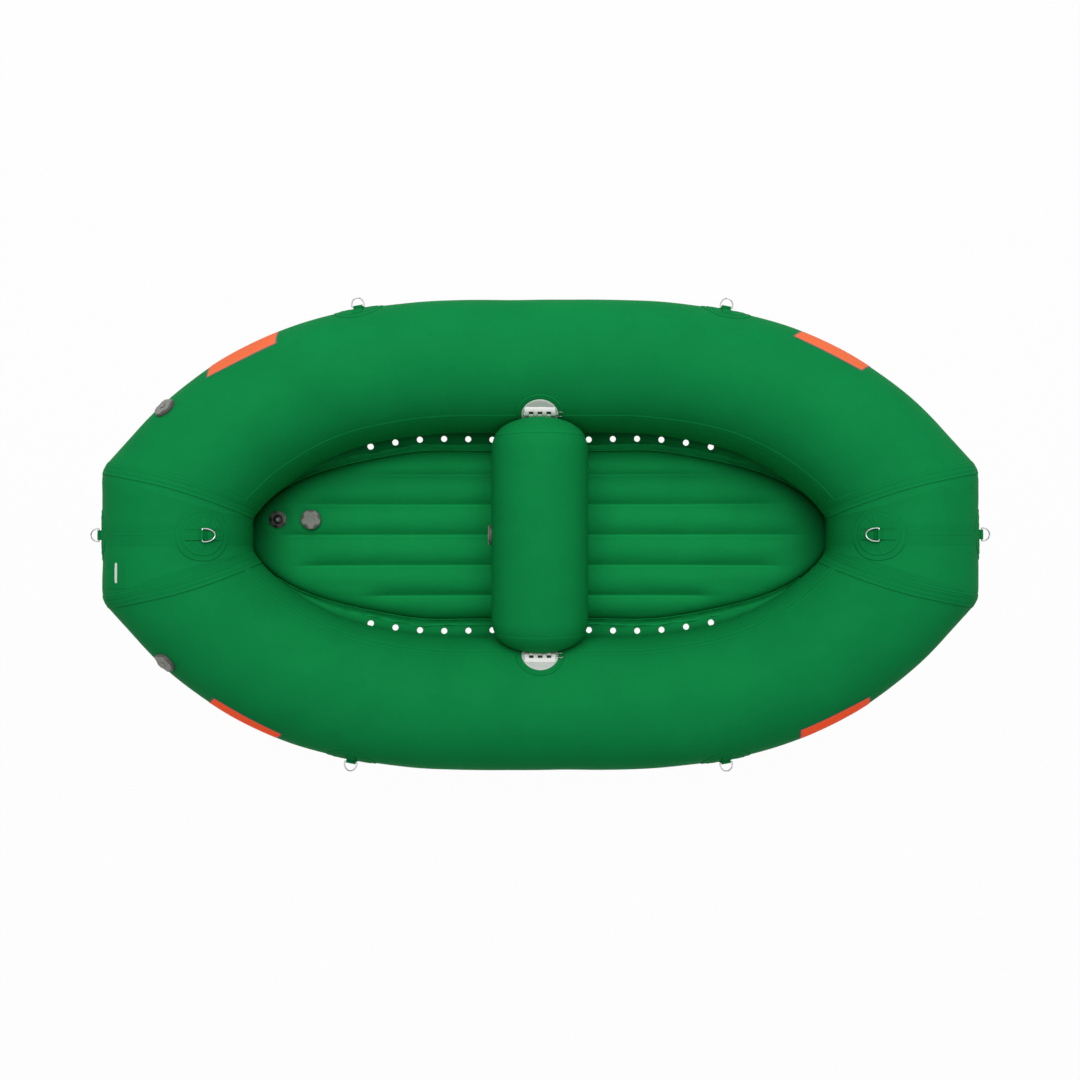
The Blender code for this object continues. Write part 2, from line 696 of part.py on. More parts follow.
def make_thwart_cap(side, material, raft):
    faces = []
    for wall in (0, THWART_WALL):
        rings = []
        for share in DOME_RING_SHARES:
            radius = share * (THWART_RADIUS - wall)
            ring = []
            for point in thwart_ring(0, radius):
                reach = pressed_reach(dome_reach(share), point.z)
                rim = share == 1
                point.y = side * (reach if rim else reach - wall)
                ring.append(point)
            rings.append(ring)
        tip = pressed_reach(dome_reach(0), THWART_HEIGHT) - wall
        faces.append(Vector((0, side * tip, THWART_HEIGHT)))
        faces.append(rings)
    dome = polar_solid(*faces)
    bmesh.ops.triangulate(dome, faces=dome.faces)
    return add_object(f"{SIDE_NAMES[side]}_thwart_cap", dome, material, raft)


def hinge_frame(side):
    """Pin axis place with X along the pin, Y up along the tube's skin and Z off the skin."""
    origin = side_point(side, 0, HINGE_ANGLE, HINGE_PIN_STANDOFF)
    off = mirrored(Vector((0, math.cos(HINGE_ANGLE), math.sin(HINGE_ANGLE))), side)
    up = mirrored(Vector((0, math.sin(HINGE_ANGLE), -math.cos(HINGE_ANGLE))), side)
    along = up.cross(off)
    return basis(along, up, off, origin)


def pin_frame(side):
    """The hinge's frame turned so that local X, the way the pin comes out, points to the bow."""
    half_turn = 0 if side == PORT else math.pi
    return hinge_frame(side) @ Matrix.Rotation(half_turn, 4, "Z")


def disc_points(surface, radius, shares, sides, lift):
    rings = []
    for share in shares:
        ring = []
        for k in range(sides):
            turn = 2 * math.pi * (k + 0.5) / sides
            ring.append(surface(share * radius * math.cos(turn), share * radius * math.sin(turn), lift))
        rings.append(ring)
    return [surface(0, 0, lift), rings]


def side_surface(side, s, angle):
    """Map from lengths along and around the outer or inner skin at a place, with a lift, to a point."""
    heading_rate = 0
    if STRAIGHT_HALF < abs(s) <= MID_ARC_END:
        heading_rate = 1 / MID_ARC_RADIUS
    elif MID_ARC_END < abs(s) <= LEAD_START:
        heading_rate = 1 / END_ARC_RADIUS
    stretch = 1 + TUBE_RADIUS * math.cos(angle) * heading_rate

    def surface(along, about, lift):
        return side_point(side, s + along / stretch, angle + about / TUBE_RADIUS, lift)

    return surface


def end_surface(end, angle):
    """The same map for an end tube, over the tape that runs round its middle."""
    def surface(along, about, lift):
        over_tape = TOUCH_GAP + TAPE_THICKNESS + lift
        return end_point(end, along, angle + about / TUBE_RADIUS, over_tape)

    return surface


def comb_outline(bar_start, bar_end, tip, first, hinge_length):
    """Outline across the pin of a bar with teeth on every second hinge segment from the first."""
    points = [(hinge_length / 2, bar_end), (-hinge_length / 2, bar_end)]
    points.append((-hinge_length / 2, bar_start))
    for k in range(first, HINGE_SEGMENTS, 2):
        left = (k - HINGE_SEGMENTS / 2) * HINGE_SEGMENT + HINGE_SIDE_GAP
        right = left + HINGE_SEGMENT - 2 * HINGE_SIDE_GAP
        if points[-1] == (left, bar_start):
            points.pop()
        points += [(left, bar_start), (left, tip), (right, tip), (right, bar_start)]
    end = (hinge_length / 2, bar_start)
    if points[-1] != end:
        points.append(end)
    return points


def plate_lift():
    """Underside of a hinge plate over the tube, clear of the chords between its points."""
    return SEAT_GAP + chord_drop(HINGE_PLATE_SHARES[0] * HINGE_PLATE_RADIUS, TUBE_RADIUS)


def leaf_lift():
    """Underside of a hinge leaf over the tube, clear of the plate and of its own chords."""
    low = plate_lift() + HINGE_PLATE_THICKNESS + SEAT_GAP
    return low + chord_drop(HINGE_LEAF_LENGTH / HINGE_LEAF_STEPS, TUBE_RADIUS)


def make_hull_plate(side, material, raft):
    """Round plate bonded to the side tube with the fixed half of the hinge on it."""
    centre = HINGE_ANGLE + HINGE_PLATE_DROP / TUBE_RADIUS
    surface = side_surface(side, 0, centre)
    low = plate_lift()
    faces = disc_points(surface, HINGE_PLATE_RADIUS, HINGE_PLATE_SHARES, PATCH_SIDES, low)
    faces += disc_points(surface, HINGE_PLATE_RADIUS, HINGE_PLATE_SHARES, PATCH_SIDES, low + HINGE_PLATE_THICKNESS)
    name = f"{SIDE_NAMES[side]}_hull_hinge_plate"
    plate = add_object(name, polar_solid(*faces), material, raft)
    length = HINGE_SEGMENTS * HINGE_SEGMENT - 2 * HINGE_SIDE_GAP
    outline = comb_outline(HINGE_BAR_START, HINGE_BAR_END, -HINGE_KNUCKLE_REACH, 0, length)
    bottom = low + HINGE_PLATE_THICKNESS - HINGE_COMB_SINK - HINGE_PIN_STANDOFF
    comb = outline_solid(outline, bottom, HINGE_KNUCKLE_HEIGHT)
    combine(plate, guide(f"{SIDE_NAMES[side]}_hull_comb", comb, raft, hinge_frame(side)), "UNION")
    combine(plate, guide(f"{SIDE_NAMES[side]}_hull_pin_cutter", pin_hole(), raft, hinge_frame(side)), "DIFFERENCE")
    return plate


def pin_hole():
    """Bore of the hinge along local X."""
    bm = bmesh.new()
    lie = Matrix.Rotation(math.pi / 2, 4, "Y")
    bmesh.ops.create_cone(bm, cap_ends=True, segments=PIN_SIDES, radius1=PIN_HOLE_RADIUS,
                          radius2=PIN_HOLE_RADIUS, depth=HINGE_SEGMENTS * HINGE_SEGMENT * 2, matrix=lie)
    return bm


def make_thwart_leaf(side, material, raft):
    """Curved leaf on the thwart's end that lies along the side tube, with the other hinge teeth."""
    length = HINGE_SEGMENTS * HINGE_SEGMENT - 2 * HINGE_SEGMENT
    low = leaf_lift()
    layers = []
    for lift in (low, low + HINGE_LEAF_THICKNESS):
        rows = []
        for k in range(HINGE_LEAF_STEPS + 1):
            down = HINGE_LEAF_START + (HINGE_LEAF_LENGTH - HINGE_LEAF_START) * k / HINGE_LEAF_STEPS
            angle = HINGE_ANGLE + down / TUBE_RADIUS
            rows.append([side_point(side, turn * length / 2, angle, lift) for turn in (-1, 1)])
        layers.append(rows)
    name = f"{SIDE_NAMES[side]}_thwart_hinge_leaf"
    leaf = add_object(name, sheet_solid(*layers), material, raft)
    outline = comb_outline(-HINGE_LEAF_BAR_START, -HINGE_LEAF_BAR_END, HINGE_KNUCKLE_REACH, 1, length)
    bottom = low + SEAT_GAP - HINGE_PIN_STANDOFF
    comb = outline_solid(outline, bottom, HINGE_LEAF_HEIGHT)
    combine(leaf, guide(f"{SIDE_NAMES[side]}_leaf_comb", comb, raft, hinge_frame(side)), "UNION")
    combine(leaf, guide(f"{SIDE_NAMES[side]}_leaf_pin_cutter", pin_hole(), raft, hinge_frame(side)), "DIFFERENCE")
    return leaf


def make_pin(side, material, raft):
    """Hinge pin with a flat eye at its bow end; its axis is local X."""
    half = HINGE_SEGMENTS * HINGE_SEGMENT / 2 + PIN_OVERHANG
    lie = Matrix.Rotation(math.pi / 2, 4, "Y")
    rod = bmesh.new()
    bmesh.ops.create_cone(rod, cap_ends=True, segments=PIN_SIDES, radius1=PIN_RADIUS, radius2=PIN_RADIUS,
                          depth=2 * half, matrix=lie)
    name = f"{SIDE_NAMES[side]}_hinge_pin"
    frame = pin_frame(side)
    pin = add_object(name, rod, material, raft, frame)
    start = half - PIN_TAB_SINK
    outline = [(start, -PIN_TAB_HALF_HEIGHT), (start + PIN_TAB_LENGTH, -PIN_TAB_HALF_HEIGHT)]
    outline += [(x, -y) for x, y in reversed(outline)]
    turn = frame @ Matrix.Rotation(math.pi / 2, 4, "X")
    tab = outline_solid(outline, -PIN_TAB_HALF_THICKNESS, PIN_TAB_HALF_THICKNESS)
    combine(pin, guide(f"{name}_tab", tab, raft, turn), "UNION")
    hole = bmesh.new()
    place = Matrix.Translation(pin_eye_centre())
    bmesh.ops.create_cone(hole, cap_ends=True, segments=PIN_SIDES, radius1=PIN_EYE_RADIUS, radius2=PIN_EYE_RADIUS,
                          depth=4 * PIN_TAB_HALF_THICKNESS, matrix=place)
    combine(pin, guide(f"{name}_eye_cutter", hole, raft, turn), "DIFFERENCE")
    return pin


def pin_eye_centre():
    """Centre of the pin's eye in the pin's own axes."""
    half = HINGE_SEGMENTS * HINGE_SEGMENT / 2 + PIN_OVERHANG
    return Vector((half - PIN_TAB_SINK + PIN_TAB_LENGTH - PIN_EYE_EDGE, 0, 0))


def swept_loop(path, wire, sides):
    """Closed wire of a round section along a closed path of (x, y) points in the XY plane."""
    rows = []
    for k, point in enumerate(path):
        before = Vector((*path[k - 1], 0))
        after = Vector((*path[(k + 1) % len(path)], 0))
        here = Vector((*point, 0))
        tangent = ((here - before).normalized() + (after - here).normalized()).normalized()
        side = tangent.cross(Vector((0, 0, 1)))
        bend = (here - before).normalized().dot((after - here).normalized())
        widen = 1 / math.sqrt((1 + bend) / 2)
        row = []
        for j in range(sides):
            turn = 2 * math.pi * (j + 0.5) / sides
            row.append(here + wire * (widen * math.cos(turn) * side + math.sin(turn) * Vector((0, 0, 1))))
        rows.append(row)
    bm = bmesh.new()
    loops = [[bm.verts.new(point) for point in row] for row in rows]
    for i in range(len(loops)):
        start = loops[i]
        end = loops[(i + 1) % len(loops)]
        for j in range(sides):
            k = (j + 1) % sides
            bm.faces.new((start[j], start[k], end[k], end[j]))
    return bm


def make_pull_ring(side, pin, material):
    """Round ring through the pin's eye; its origin is in the eye and local X points away from the pin."""
    path = []
    for k in range(PULL_RING_STEPS):
        turn = 2 * math.pi * k / PULL_RING_STEPS
        path.append((PULL_RING_RADIUS * (1 - math.cos(turn)), PULL_RING_RADIUS * math.sin(turn)))
    bm = swept_loop(path, PULL_RING_WIRE, RING_WIRE_SIDES)
    matrix = pin_frame(side) @ Matrix.Translation(pin_eye_centre())
    return add_object(f"{SIDE_NAMES[side]}_pull_ring", bm, material, pin, matrix)


def ring_path():
    """Outline of the D-ring's wire: straight bar on local X at the origin, bow towards local Y."""
    half = RING_HALF_WIDTH
    path = [(-half + RING_CORNER, 0), (half - RING_CORNER, 0), (half, RING_CORNER)]
    for k in range(RING_ARC_STEPS + 1):
        turn = math.pi * k / RING_ARC_STEPS
        path.append((half * math.cos(turn), RING_DEPTH - half + half * math.sin(turn)))
    path.append((-half, RING_CORNER))
    return path


def patch_lift():
    """Underside of a D-ring patch over the tube, clear of the chords between its points."""
    rim_chord = 2 * PATCH_RADIUS * math.sin(math.pi / PATCH_SIDES)
    return TOUCH_GAP + chord_drop(rim_chord, TUBE_RADIUS)


def strap_path():
    """Mid-line of the webbing as (around, height over the patch): in, round the bar, and out."""
    turn_radius = RING_WIRE_RADIUS + LOOP_CLEARANCE + STRAP_THICKNESS / 2
    low = STRAP_THICKNESS / 2 - STRAP_SINK
    beside = (STRAP_THICKNESS + STRAP_SLIT) / 2
    tail = [(-STRAP_HALF_LENGTH * share, low) for share in STRAP_TAIL_SHARES]
    tail.append((-beside, low))
    start = math.asin(beside / turn_radius)
    loop = []
    for k in range(LOOP_STEPS + 1):
        turn = -math.pi / 2 - start - (2 * math.pi - 2 * start) * k / LOOP_STEPS
        loop.append((turn_radius * math.cos(turn), RING_STANDOFF + turn_radius * math.sin(turn)))
    return tail + loop + [(-b, h) for b, h in reversed(tail)]


def offset_path(path, distance):
    """Path moved sideways by a distance, mitred at its corners."""
    moved = []
    for k, (x, y) in enumerate(path):
        here = Vector((x, y))
        back = (here - Vector(path[k - 1])).normalized() if k else None
        ahead = (Vector(path[k + 1]) - here).normalized() if k + 1 < len(path) else back
        back = back or ahead
        tangent = (back + ahead).normalized()
        normal = Vector((-tangent.y, tangent.x))
        spread = 1 / math.sqrt((1 + back.dot(ahead)) / 2)
        moved.append(here + distance * spread * normal)
    return moved


def make_ring_patch(name, surface, material, raft):
    """Round patch on a tube with a webbing strap folded round the D-ring's bar."""
    low = patch_lift()
    top = low + PATCH_THICKNESS
    faces = disc_points(surface, PATCH_RADIUS, PATCH_RING_SHARES, PATCH_SIDES, low)
    faces += disc_points(surface, PATCH_RADIUS, PATCH_RING_SHARES, PATCH_SIDES, top)
    patch = add_object(f"{name}_ring_patch", polar_solid(*faces), material, raft)
    layers = []
    for turn in (1, -1):
        rows = []
        for about, height in offset_path(strap_path(), turn * STRAP_THICKNESS / 2):
            rows.append([surface(along, about, top + height) for along in (-STRAP_WIDTH / 2, STRAP_WIDTH / 2)])
        layers.append(rows)
    combine(patch, guide(f"{name}_strap", sheet_solid(*layers), raft), "UNION")
    return patch


def ring_frame(surface, lean):
    """Bar of a D-ring: local X along the bar, local Y the ring's own direction at a lean from the skin."""
    height = patch_lift() + PATCH_THICKNESS + RING_STANDOFF
    origin = surface(0, 0, height)
    along = (surface(STRAP_WIDTH / 2, 0, height) - surface(-STRAP_WIDTH / 2, 0, height)).normalized()
    off = surface(0, 0, 2 * height) - origin
    off = (off - off.dot(along) * along).normalized()
    about = off.cross(along)
    if (surface(0, STRAP_WIDTH / 2, height) - origin).dot(about) < 0:
        about = -about
    point = math.cos(lean) * off + math.sin(lean) * about
    return basis(along, point, along.cross(point), origin)


def make_rings(patch_material, ring_material, raft):
    """Eight D-rings: one on the outer and one on the inboard top of each end, two on each side."""
    spots = []
    for end in (STERN, BOW):
        spots.append((f"{END_NAMES[end]}_outer", end_surface(end, END_RING_ANGLE), -RING_DROOP))
        spots.append((f"{END_NAMES[end]}_top", end_surface(end, TOP_RING_ANGLE), RING_LYING))
        for side in (PORT, STARBOARD):
            station = float(np.interp(SIDE_RING_PLACES[side, end], *plan_samples()))
            surface = side_surface(side, end * station, END_RING_ANGLE)
            spots.append((f"{SIDE_NAMES[side]}_{END_NAMES[end]}", surface, -RING_DROOP))
    mesh = None
    for name, surface, lean in spots:
        make_ring_patch(name, surface, patch_material, raft)
        matrix = ring_frame(surface, lean)
        if mesh is None:
            wire = swept_loop(ring_path(), RING_WIRE_RADIUS, RING_WIRE_SIDES)
            mesh = add_object(f"{name}_d_ring", wire, ring_material, raft, matrix).data
        else:
            place_mesh(f"{name}_d_ring", mesh, raft, matrix)


def plan_samples():
    """Places along the raft of a skin point of the side tube, against lengths along its axis."""
    lengths = np.linspace(0, SIDE_HALF, 401)
    return [side_point(PORT, s, END_RING_ANGLE, 0).x for s in lengths], lengths


def valve_profile(depth, bore, stem, nut, flange, neck, neck_height):
    """Section of a valve body whose outer flange rests at height 0 and whose nut is below the skin."""
    return [
        (bore, -depth - VALVE_NUT_THICKNESS),
        (nut, -depth - VALVE_NUT_THICKNESS),
        (nut, -depth),
        (stem, -depth),
        (stem, 0),
        (flange, 0),
        (flange, VALVE_FLANGE_THICKNESS),
        (neck, VALVE_FLANGE_THICKNESS),
        (neck, VALVE_FLANGE_THICKNESS + neck_height),
        (bore, VALVE_FLANGE_THICKNESS + neck_height),
    ]


def cap_solid():
    """Lobed cap with a recess that fits over the valve's neck; its underside is at local height 0."""
    star = []
    count = CAP_LOBES * 4
    for k in range(count):
        radius = CAP_NOTCH_RADIUS if k % 4 == 0 else CAP_RADIUS
        turn = 2 * math.pi * k / count
        star.append((radius * math.cos(turn), radius * math.sin(turn)))
    recess = []
    for k in range(count):
        turn = 2 * math.pi * k / count
        recess.append((CAP_RECESS_RADIUS * math.cos(turn), CAP_RECESS_RADIUS * math.sin(turn)))
    shrink = 1 - CAP_CHAMFER / CAP_RADIUS
    depth = VALVE_NECK_HEIGHT + SEAT_GAP
    bm = bmesh.new()
    loops = [
        [bm.verts.new((x, y, depth)) for x, y in recess],
        [bm.verts.new((x, y, 0)) for x, y in recess],
        [bm.verts.new((x, y, 0)) for x, y in star],
        [bm.verts.new((x, y, CAP_THICKNESS - CAP_CHAMFER)) for x, y in star],
        [bm.verts.new((shrink * x, shrink * y, CAP_THICKNESS)) for x, y in star],
    ]
    for low, high in zip(loops, loops[1:]):
        for j in range(count):
            k = (j + 1) % count
            bm.faces.new((low[j], low[k], high[k], high[j]))
    bm.faces.new(loops[0][::-1])
    bm.faces.new(loops[-1])
    return bm


def upright(normal, origin):
    """Frame with local Z along a normal and local X level."""
    across = Vector((0, 1, 0)).cross(normal)
    if across.length < abs(normal.y):
        across = Vector((0, 0, 1)).cross(normal)
    across.normalize()
    return basis(across, normal.cross(across), normal, origin)


def make_valve(name, skin, crest, normal, depth, body_material, cap_material, raft):
    """Inflation valve through a skin, with its cap; the crest is the skin's highest place under it."""
    frame = upright(normal, crest)
    cut_hole(name, skin, frame, raft)
    profile = valve_profile(depth, VALVE_BORE, VALVE_STEM, VALVE_NUT_RADIUS, VALVE_FLANGE_RADIUS,
                            VALVE_NECK_RADIUS, VALVE_NECK_HEIGHT)
    body = add_object(f"{name}_valve_body", turned_solid(profile, VALVE_SIDES), body_material, raft, frame)
    seat = Matrix.Translation((0, 0, VALVE_FLANGE_THICKNESS + TOUCH_GAP))
    add_object(f"{name}_valve_cap", cap_solid(), cap_material, body, frame @ seat)


def cut_hole(name, skin, frame, raft):
    hole = bmesh.new()
    bmesh.ops.create_cone(hole, cap_ends=True, segments=VALVE_HOLE_SIDES, radius1=VALVE_HOLE,
                          radius2=VALVE_HOLE, depth=2 * VALVE_CUT_HALF)
    combine(skin, guide(f"{name}_hole_cutter", hole, raft, frame), "DIFFERENCE")


def facet_lift(angle, radius):
    """How far a faceted tube's skin lies off the circle through its ridges, as a negative lift."""
    off_middle = angle - round(angle / FACET_ANGLE) * FACET_ANGLE
    return radius * (math.cos(FACET_ANGLE / 2) / math.cos(off_middle) - 1)


def floor_top(x, y):
    """Point of the floor's faceted top skin."""
    heights = []
    for row in floor_rows():
        lines = floor_grid_lines(row, TOP_COLUMN_STEPS)
        levels = [floor_middle(row) + floor_bulge(row, line) for line in lines]
        heights.append(float(np.interp(y, lines, levels)))
    return Vector((x, y, float(np.interp(x, floor_rows(), heights)) + TOUCH_GAP + FLOOR_SKIN))


def seat(skin, normal, flange, nut):
    """Crest of a skin under a flange, and how deep below it a nut of its own clears the skin's wall."""
    foot = skin(0, 0)
    heights = {}
    for reach in (flange, nut):
        heights[reach] = [0]
        for share in (0.5, 1):
            for k in range(SEAT_SAMPLES):
                turn = 2 * math.pi * k / SEAT_SAMPLES
                point = skin(share * reach * math.cos(turn), share * reach * math.sin(turn))
                heights[reach].append((point - foot).dot(normal))
    top = max(heights[flange]) + SEAT_MARGIN
    return foot + top * normal, top - min(heights[nut]) + TUBE_WALL + SEAT_MARGIN


def make_valves(tubes, sleeve, floor_skin, body_material, cap_material, raft):
    length = -(SIDE_HALF - HULL_VALVE_INSET)
    for side in (PORT, STARBOARD):

        def hull_skin(along, about):
            angle = HULL_VALVE_ANGLE + about / TUBE_RADIUS
            return loft_point(side, length + along, angle, facet_lift(angle, TUBE_RADIUS))

        step = VALVE_NUT_RADIUS
        along = hull_skin(step, 0) - hull_skin(-step, 0)
        off = loft_point(side, length, HULL_VALVE_ANGLE, TUBE_RADIUS) - hull_skin(0, 0)
        normal = (off - off.project(along)).normalized()
        crest, depth = seat(hull_skin, normal, VALVE_FLANGE_RADIUS, VALVE_NUT_RADIUS)
        name = f"{SIDE_NAMES[side]}_hull"
        make_valve(name, tubes[side], crest, normal, depth, body_material, cap_material, raft)

    def thwart_skin(along, about):
        angle = about / THWART_RADIUS
        radius = THWART_RADIUS + facet_lift(angle, THWART_RADIUS)
        return Vector((-radius * math.cos(angle), along, THWART_HEIGHT + radius * math.sin(angle)))

    normal = Vector((-1, 0, 0))
    crest, depth = seat(thwart_skin, normal, VALVE_FLANGE_RADIUS, VALVE_NUT_RADIUS)
    make_valve("thwart", sleeve, crest, normal, depth, body_material, cap_material, raft)
    y = CHANNEL_WIDTH / 2
    for name, inset, flange, nut in (
        ("floor", FLOOR_VALVE_INSET, VALVE_FLANGE_RADIUS, VALVE_NUT_RADIUS),
        ("relief", RELIEF_VALVE_INSET, RELIEF_FLANGE_RADIUS, RELIEF_NUT_RADIUS),
    ):
        x = inset - FLOOR_HALF_LENGTH
        slope = floor_top(x + nut, y).z - floor_top(x - nut, y).z
        normal = Vector((-slope, 0, 2 * nut)).normalized()
        crest, depth = seat(lambda along, about: floor_top(x + along, y + about), normal, flange, nut)
        if name == "floor":
            make_valve(name, floor_skin, crest, normal, depth, body_material, cap_material, raft)
        else:
            make_relief_valve(floor_skin, crest, normal, depth, body_material, cap_material, raft)


def make_relief_valve(skin, crest, normal, depth, body_material, poppet_material, raft):
    """Pressure relief valve: an open ring with a sprung poppet in its bore."""
    frame = upright(normal, crest)
    cut_hole("relief", skin, frame, raft)
    profile = valve_profile(depth, RELIEF_BORE, RELIEF_STEM, RELIEF_NUT_RADIUS, RELIEF_FLANGE_RADIUS,
                            RELIEF_STEM, RELIEF_RIM_HEIGHT)
    body = add_object("relief_valve_body", turned_solid(profile, VALVE_SIDES), body_material, raft, frame)
    foot = -POPPET_BUTTON_HEIGHT + VALVE_FLANGE_THICKNESS
    poppet = [
        (0, foot),
        (POPPET_RADIUS, foot),
        (POPPET_RADIUS, foot + POPPET_FOOT_THICKNESS),
        (POPPET_BUTTON_RADIUS, foot + POPPET_FOOT_THICKNESS),
        (POPPET_BUTTON_RADIUS, foot + POPPET_FOOT_THICKNESS + POPPET_BUTTON_HEIGHT),
        (0, foot + POPPET_FOOT_THICKNESS + POPPET_BUTTON_HEIGHT),
    ]
    add_object("relief_valve_poppet", turned_solid(poppet, VALVE_SIDES), poppet_material, body, frame)


def main():
    for item in list(bpy.data.objects):
        bpy.data.objects.remove(item, do_unlink=True)
    green = make_material("coated_fabric", (18, 125, 65), 0.45)
    dark_green = make_material("patch_fabric", (16, 112, 58), 0.5)
    inner = make_material("inner_fabric", (14, 103, 53), 0.6)
    grey = make_material("hinge_plastic", (190, 194, 190), 0.45)
    valve_grey = make_material("valve_plastic", (127, 128, 121), 0.5)
    dark_grey = make_material("valve_body_plastic", (88, 90, 86), 0.5)
    steel = make_material("stainless", (200, 202, 204), 0.22, 1)
    raft = bpy.data.objects.new("raft", None)
    bpy.context.scene.collection.objects.link(raft)
    tubes = {side: make_side_tube(side, green, raft) for side in (PORT, STARBOARD)}
    for end in (STERN, BOW):
        make_end_tube(end, green, raft)
        make_baffle(end, inner, raft)
        make_centre_tape(end, dark_green, raft)
        for side in (PORT, STARBOARD):
            make_mitre_tape(side, end, dark_green, raft)
    floor_skin = make_floor_skin("floor_top_skin", 1, TOP_COLUMN_STEPS, green, raft)
    make_floor_skin("floor_bottom_skin", -1, BOTTOM_COLUMN_STEPS, green, raft)
    make_web("floor_web_centre", 0, PORT, inner, raft)
    for side in (PORT, STARBOARD):
        make_web(f"floor_web_{SIDE_NAMES[side]}_inner", 1, side, inner, raft)
        make_web(f"floor_web_{SIDE_NAMES[side]}_outer", 2, side, inner, raft)
    sleeve = make_thwart_sleeve(green, raft)
    for side in (PORT, STARBOARD):
        make_seam_strip(side, dark_green, raft)
        make_drain_skirt(side, dark_green, raft)
        make_thwart_cap(side, green, raft)
        make_hull_plate(side, grey, raft)
        make_thwart_leaf(side, grey, raft)
        pin = make_pin(side, steel, raft)
        make_pull_ring(side, pin, steel)
    make_rings(dark_green, steel, raft)
    make_valves(tubes, sleeve, floor_skin, dark_grey, valve_grey, raft)


main()
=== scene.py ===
import json
import math

import bmesh
import bpy
import numpy as np
from mathutils import Matrix, Vector


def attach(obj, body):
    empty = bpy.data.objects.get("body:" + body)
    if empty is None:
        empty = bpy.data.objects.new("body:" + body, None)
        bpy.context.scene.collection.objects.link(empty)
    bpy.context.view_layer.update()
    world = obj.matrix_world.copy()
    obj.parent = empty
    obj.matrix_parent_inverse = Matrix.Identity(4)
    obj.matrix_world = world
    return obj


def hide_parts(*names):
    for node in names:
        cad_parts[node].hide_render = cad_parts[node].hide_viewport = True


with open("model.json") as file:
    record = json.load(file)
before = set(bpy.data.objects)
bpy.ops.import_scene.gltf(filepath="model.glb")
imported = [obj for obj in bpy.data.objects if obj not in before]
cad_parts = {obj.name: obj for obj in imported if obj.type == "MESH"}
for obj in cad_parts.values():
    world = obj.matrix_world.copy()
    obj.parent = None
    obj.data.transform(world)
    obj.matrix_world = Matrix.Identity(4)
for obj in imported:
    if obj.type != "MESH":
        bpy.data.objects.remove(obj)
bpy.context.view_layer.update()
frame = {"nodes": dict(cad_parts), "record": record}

# The raft: metres, +Z up, +X towards the bow, +Y towards port, standing on z = 0.

# Hull line
RADIUS = 0.24
X_END = 1.263
Y_SIDE = 0.62
AXIS_HEIGHT = RADIUS * math.cos(math.radians(9))
END_HALF = 0.1465
HEADING = math.radians(51.6)
BEND = (math.pi / 2 - HEADING) / 2
MITRE = math.pi / 2 - BEND
LEAD = 0.11
MID_RADIUS = 1.72
MID_ANGLE = math.radians(13.1)
ROCKER = 0.156
ROCKER_START = 0.3
LEAD_X = X_END - LEAD * math.cos(HEADING)
LEAD_Y = END_HALF + LEAD * math.sin(HEADING)
MID_DROP = MID_RADIUS * (1 - math.cos(MID_ANGLE))
END_RADIUS = (Y_SIDE - LEAD_Y - MID_DROP) / (math.cos(MID_ANGLE) - math.cos(HEADING))
S0 = LEAD_X - MID_RADIUS * math.sin(MID_ANGLE) - END_RADIUS * (math.sin(HEADING) - math.sin(MID_ANGLE))
S1 = S0 + MID_RADIUS * MID_ANGLE
S2 = S1 + END_RADIUS * (HEADING - MID_ANGLE)
S3 = S2 + LEAD
CORNER_REACH = 0.045
CORNER_RADIUS = CORNER_REACH / math.sin(BEND)
CORNER_BULGE = 0.002
CORNER_SWELL = 0.2
SIDES = {"port": 1, "starboard": -1}
ENDS = {"bow": 1, "stern": -1}


def rise(x):
    return ROCKER * np.clip((np.abs(x) - ROCKER_START) / (X_END - ROCKER_START), 0, None) ** 2


def plan(s):
    """Plan place and heading of the side tube's axis for lengths from midship, bow half."""
    run = np.abs(s)
    h = np.where(run <= S1, (run - S0) / MID_RADIUS, MID_ANGLE + (run - S1) / END_RADIUS)
    h = np.clip(h, 0, HEADING)
    spans = [run <= S0, run <= S1, run <= S2]
    x = [run, S0 + MID_RADIUS * np.sin(h), LEAD_X - END_RADIUS * (math.sin(HEADING) - np.sin(h))]
    y = [Y_SIDE, Y_SIDE - MID_RADIUS * (1 - np.cos(h)), LEAD_Y + END_RADIUS * (np.cos(h) - math.cos(HEADING))]
    x = np.select(spans, x, X_END - (S3 - run) * math.cos(HEADING))
    return x, np.select(spans, y, END_HALF + (S3 - run) * math.sin(HEADING)), h


def smooth(t):
    t = np.clip(t, 0, 1)
    return t * t * (3 - 2 * t)


def pinch(a):
    """Skin per length of axis in the straight lead before a mitre."""
    return 1 + np.cos(a) * RADIUS * math.tan(BEND) / LEAD


def stretch(a):
    """Skin per length of axis in the bend before the lead."""
    return 1 + RADIUS * np.cos(a) / END_RADIUS


def skin_room(run, a):
    """Length of skin from a point of a side tube to its mitre, shorter on the inner side of the bend."""
    return np.minimum(S3 - run, LEAD) * pinch(a) + np.clip(S2 - run, 0, None) * stretch(a)


def corner_shift(room, swell):
    """How far the inflated corner stands out near a mitre, less its rounding at the mitre itself."""
    rounding = np.clip(CORNER_REACH - room, 0, None) ** 2 / (2 * CORNER_RADIUS)
    return CORNER_BULGE * smooth(1 - room / swell) - rounding


def slack(s, a):
    """Small unevenness of a fabric tube under pressure."""
    return 0.0007 * (np.sin(7.1 * s + 2 * a) * np.sin(3 * a + 1.3) + 0.7 * np.sin(17 * s - 3 * a + 0.6)
                     + 0.5 * np.sin(31 * s + 5 * a))


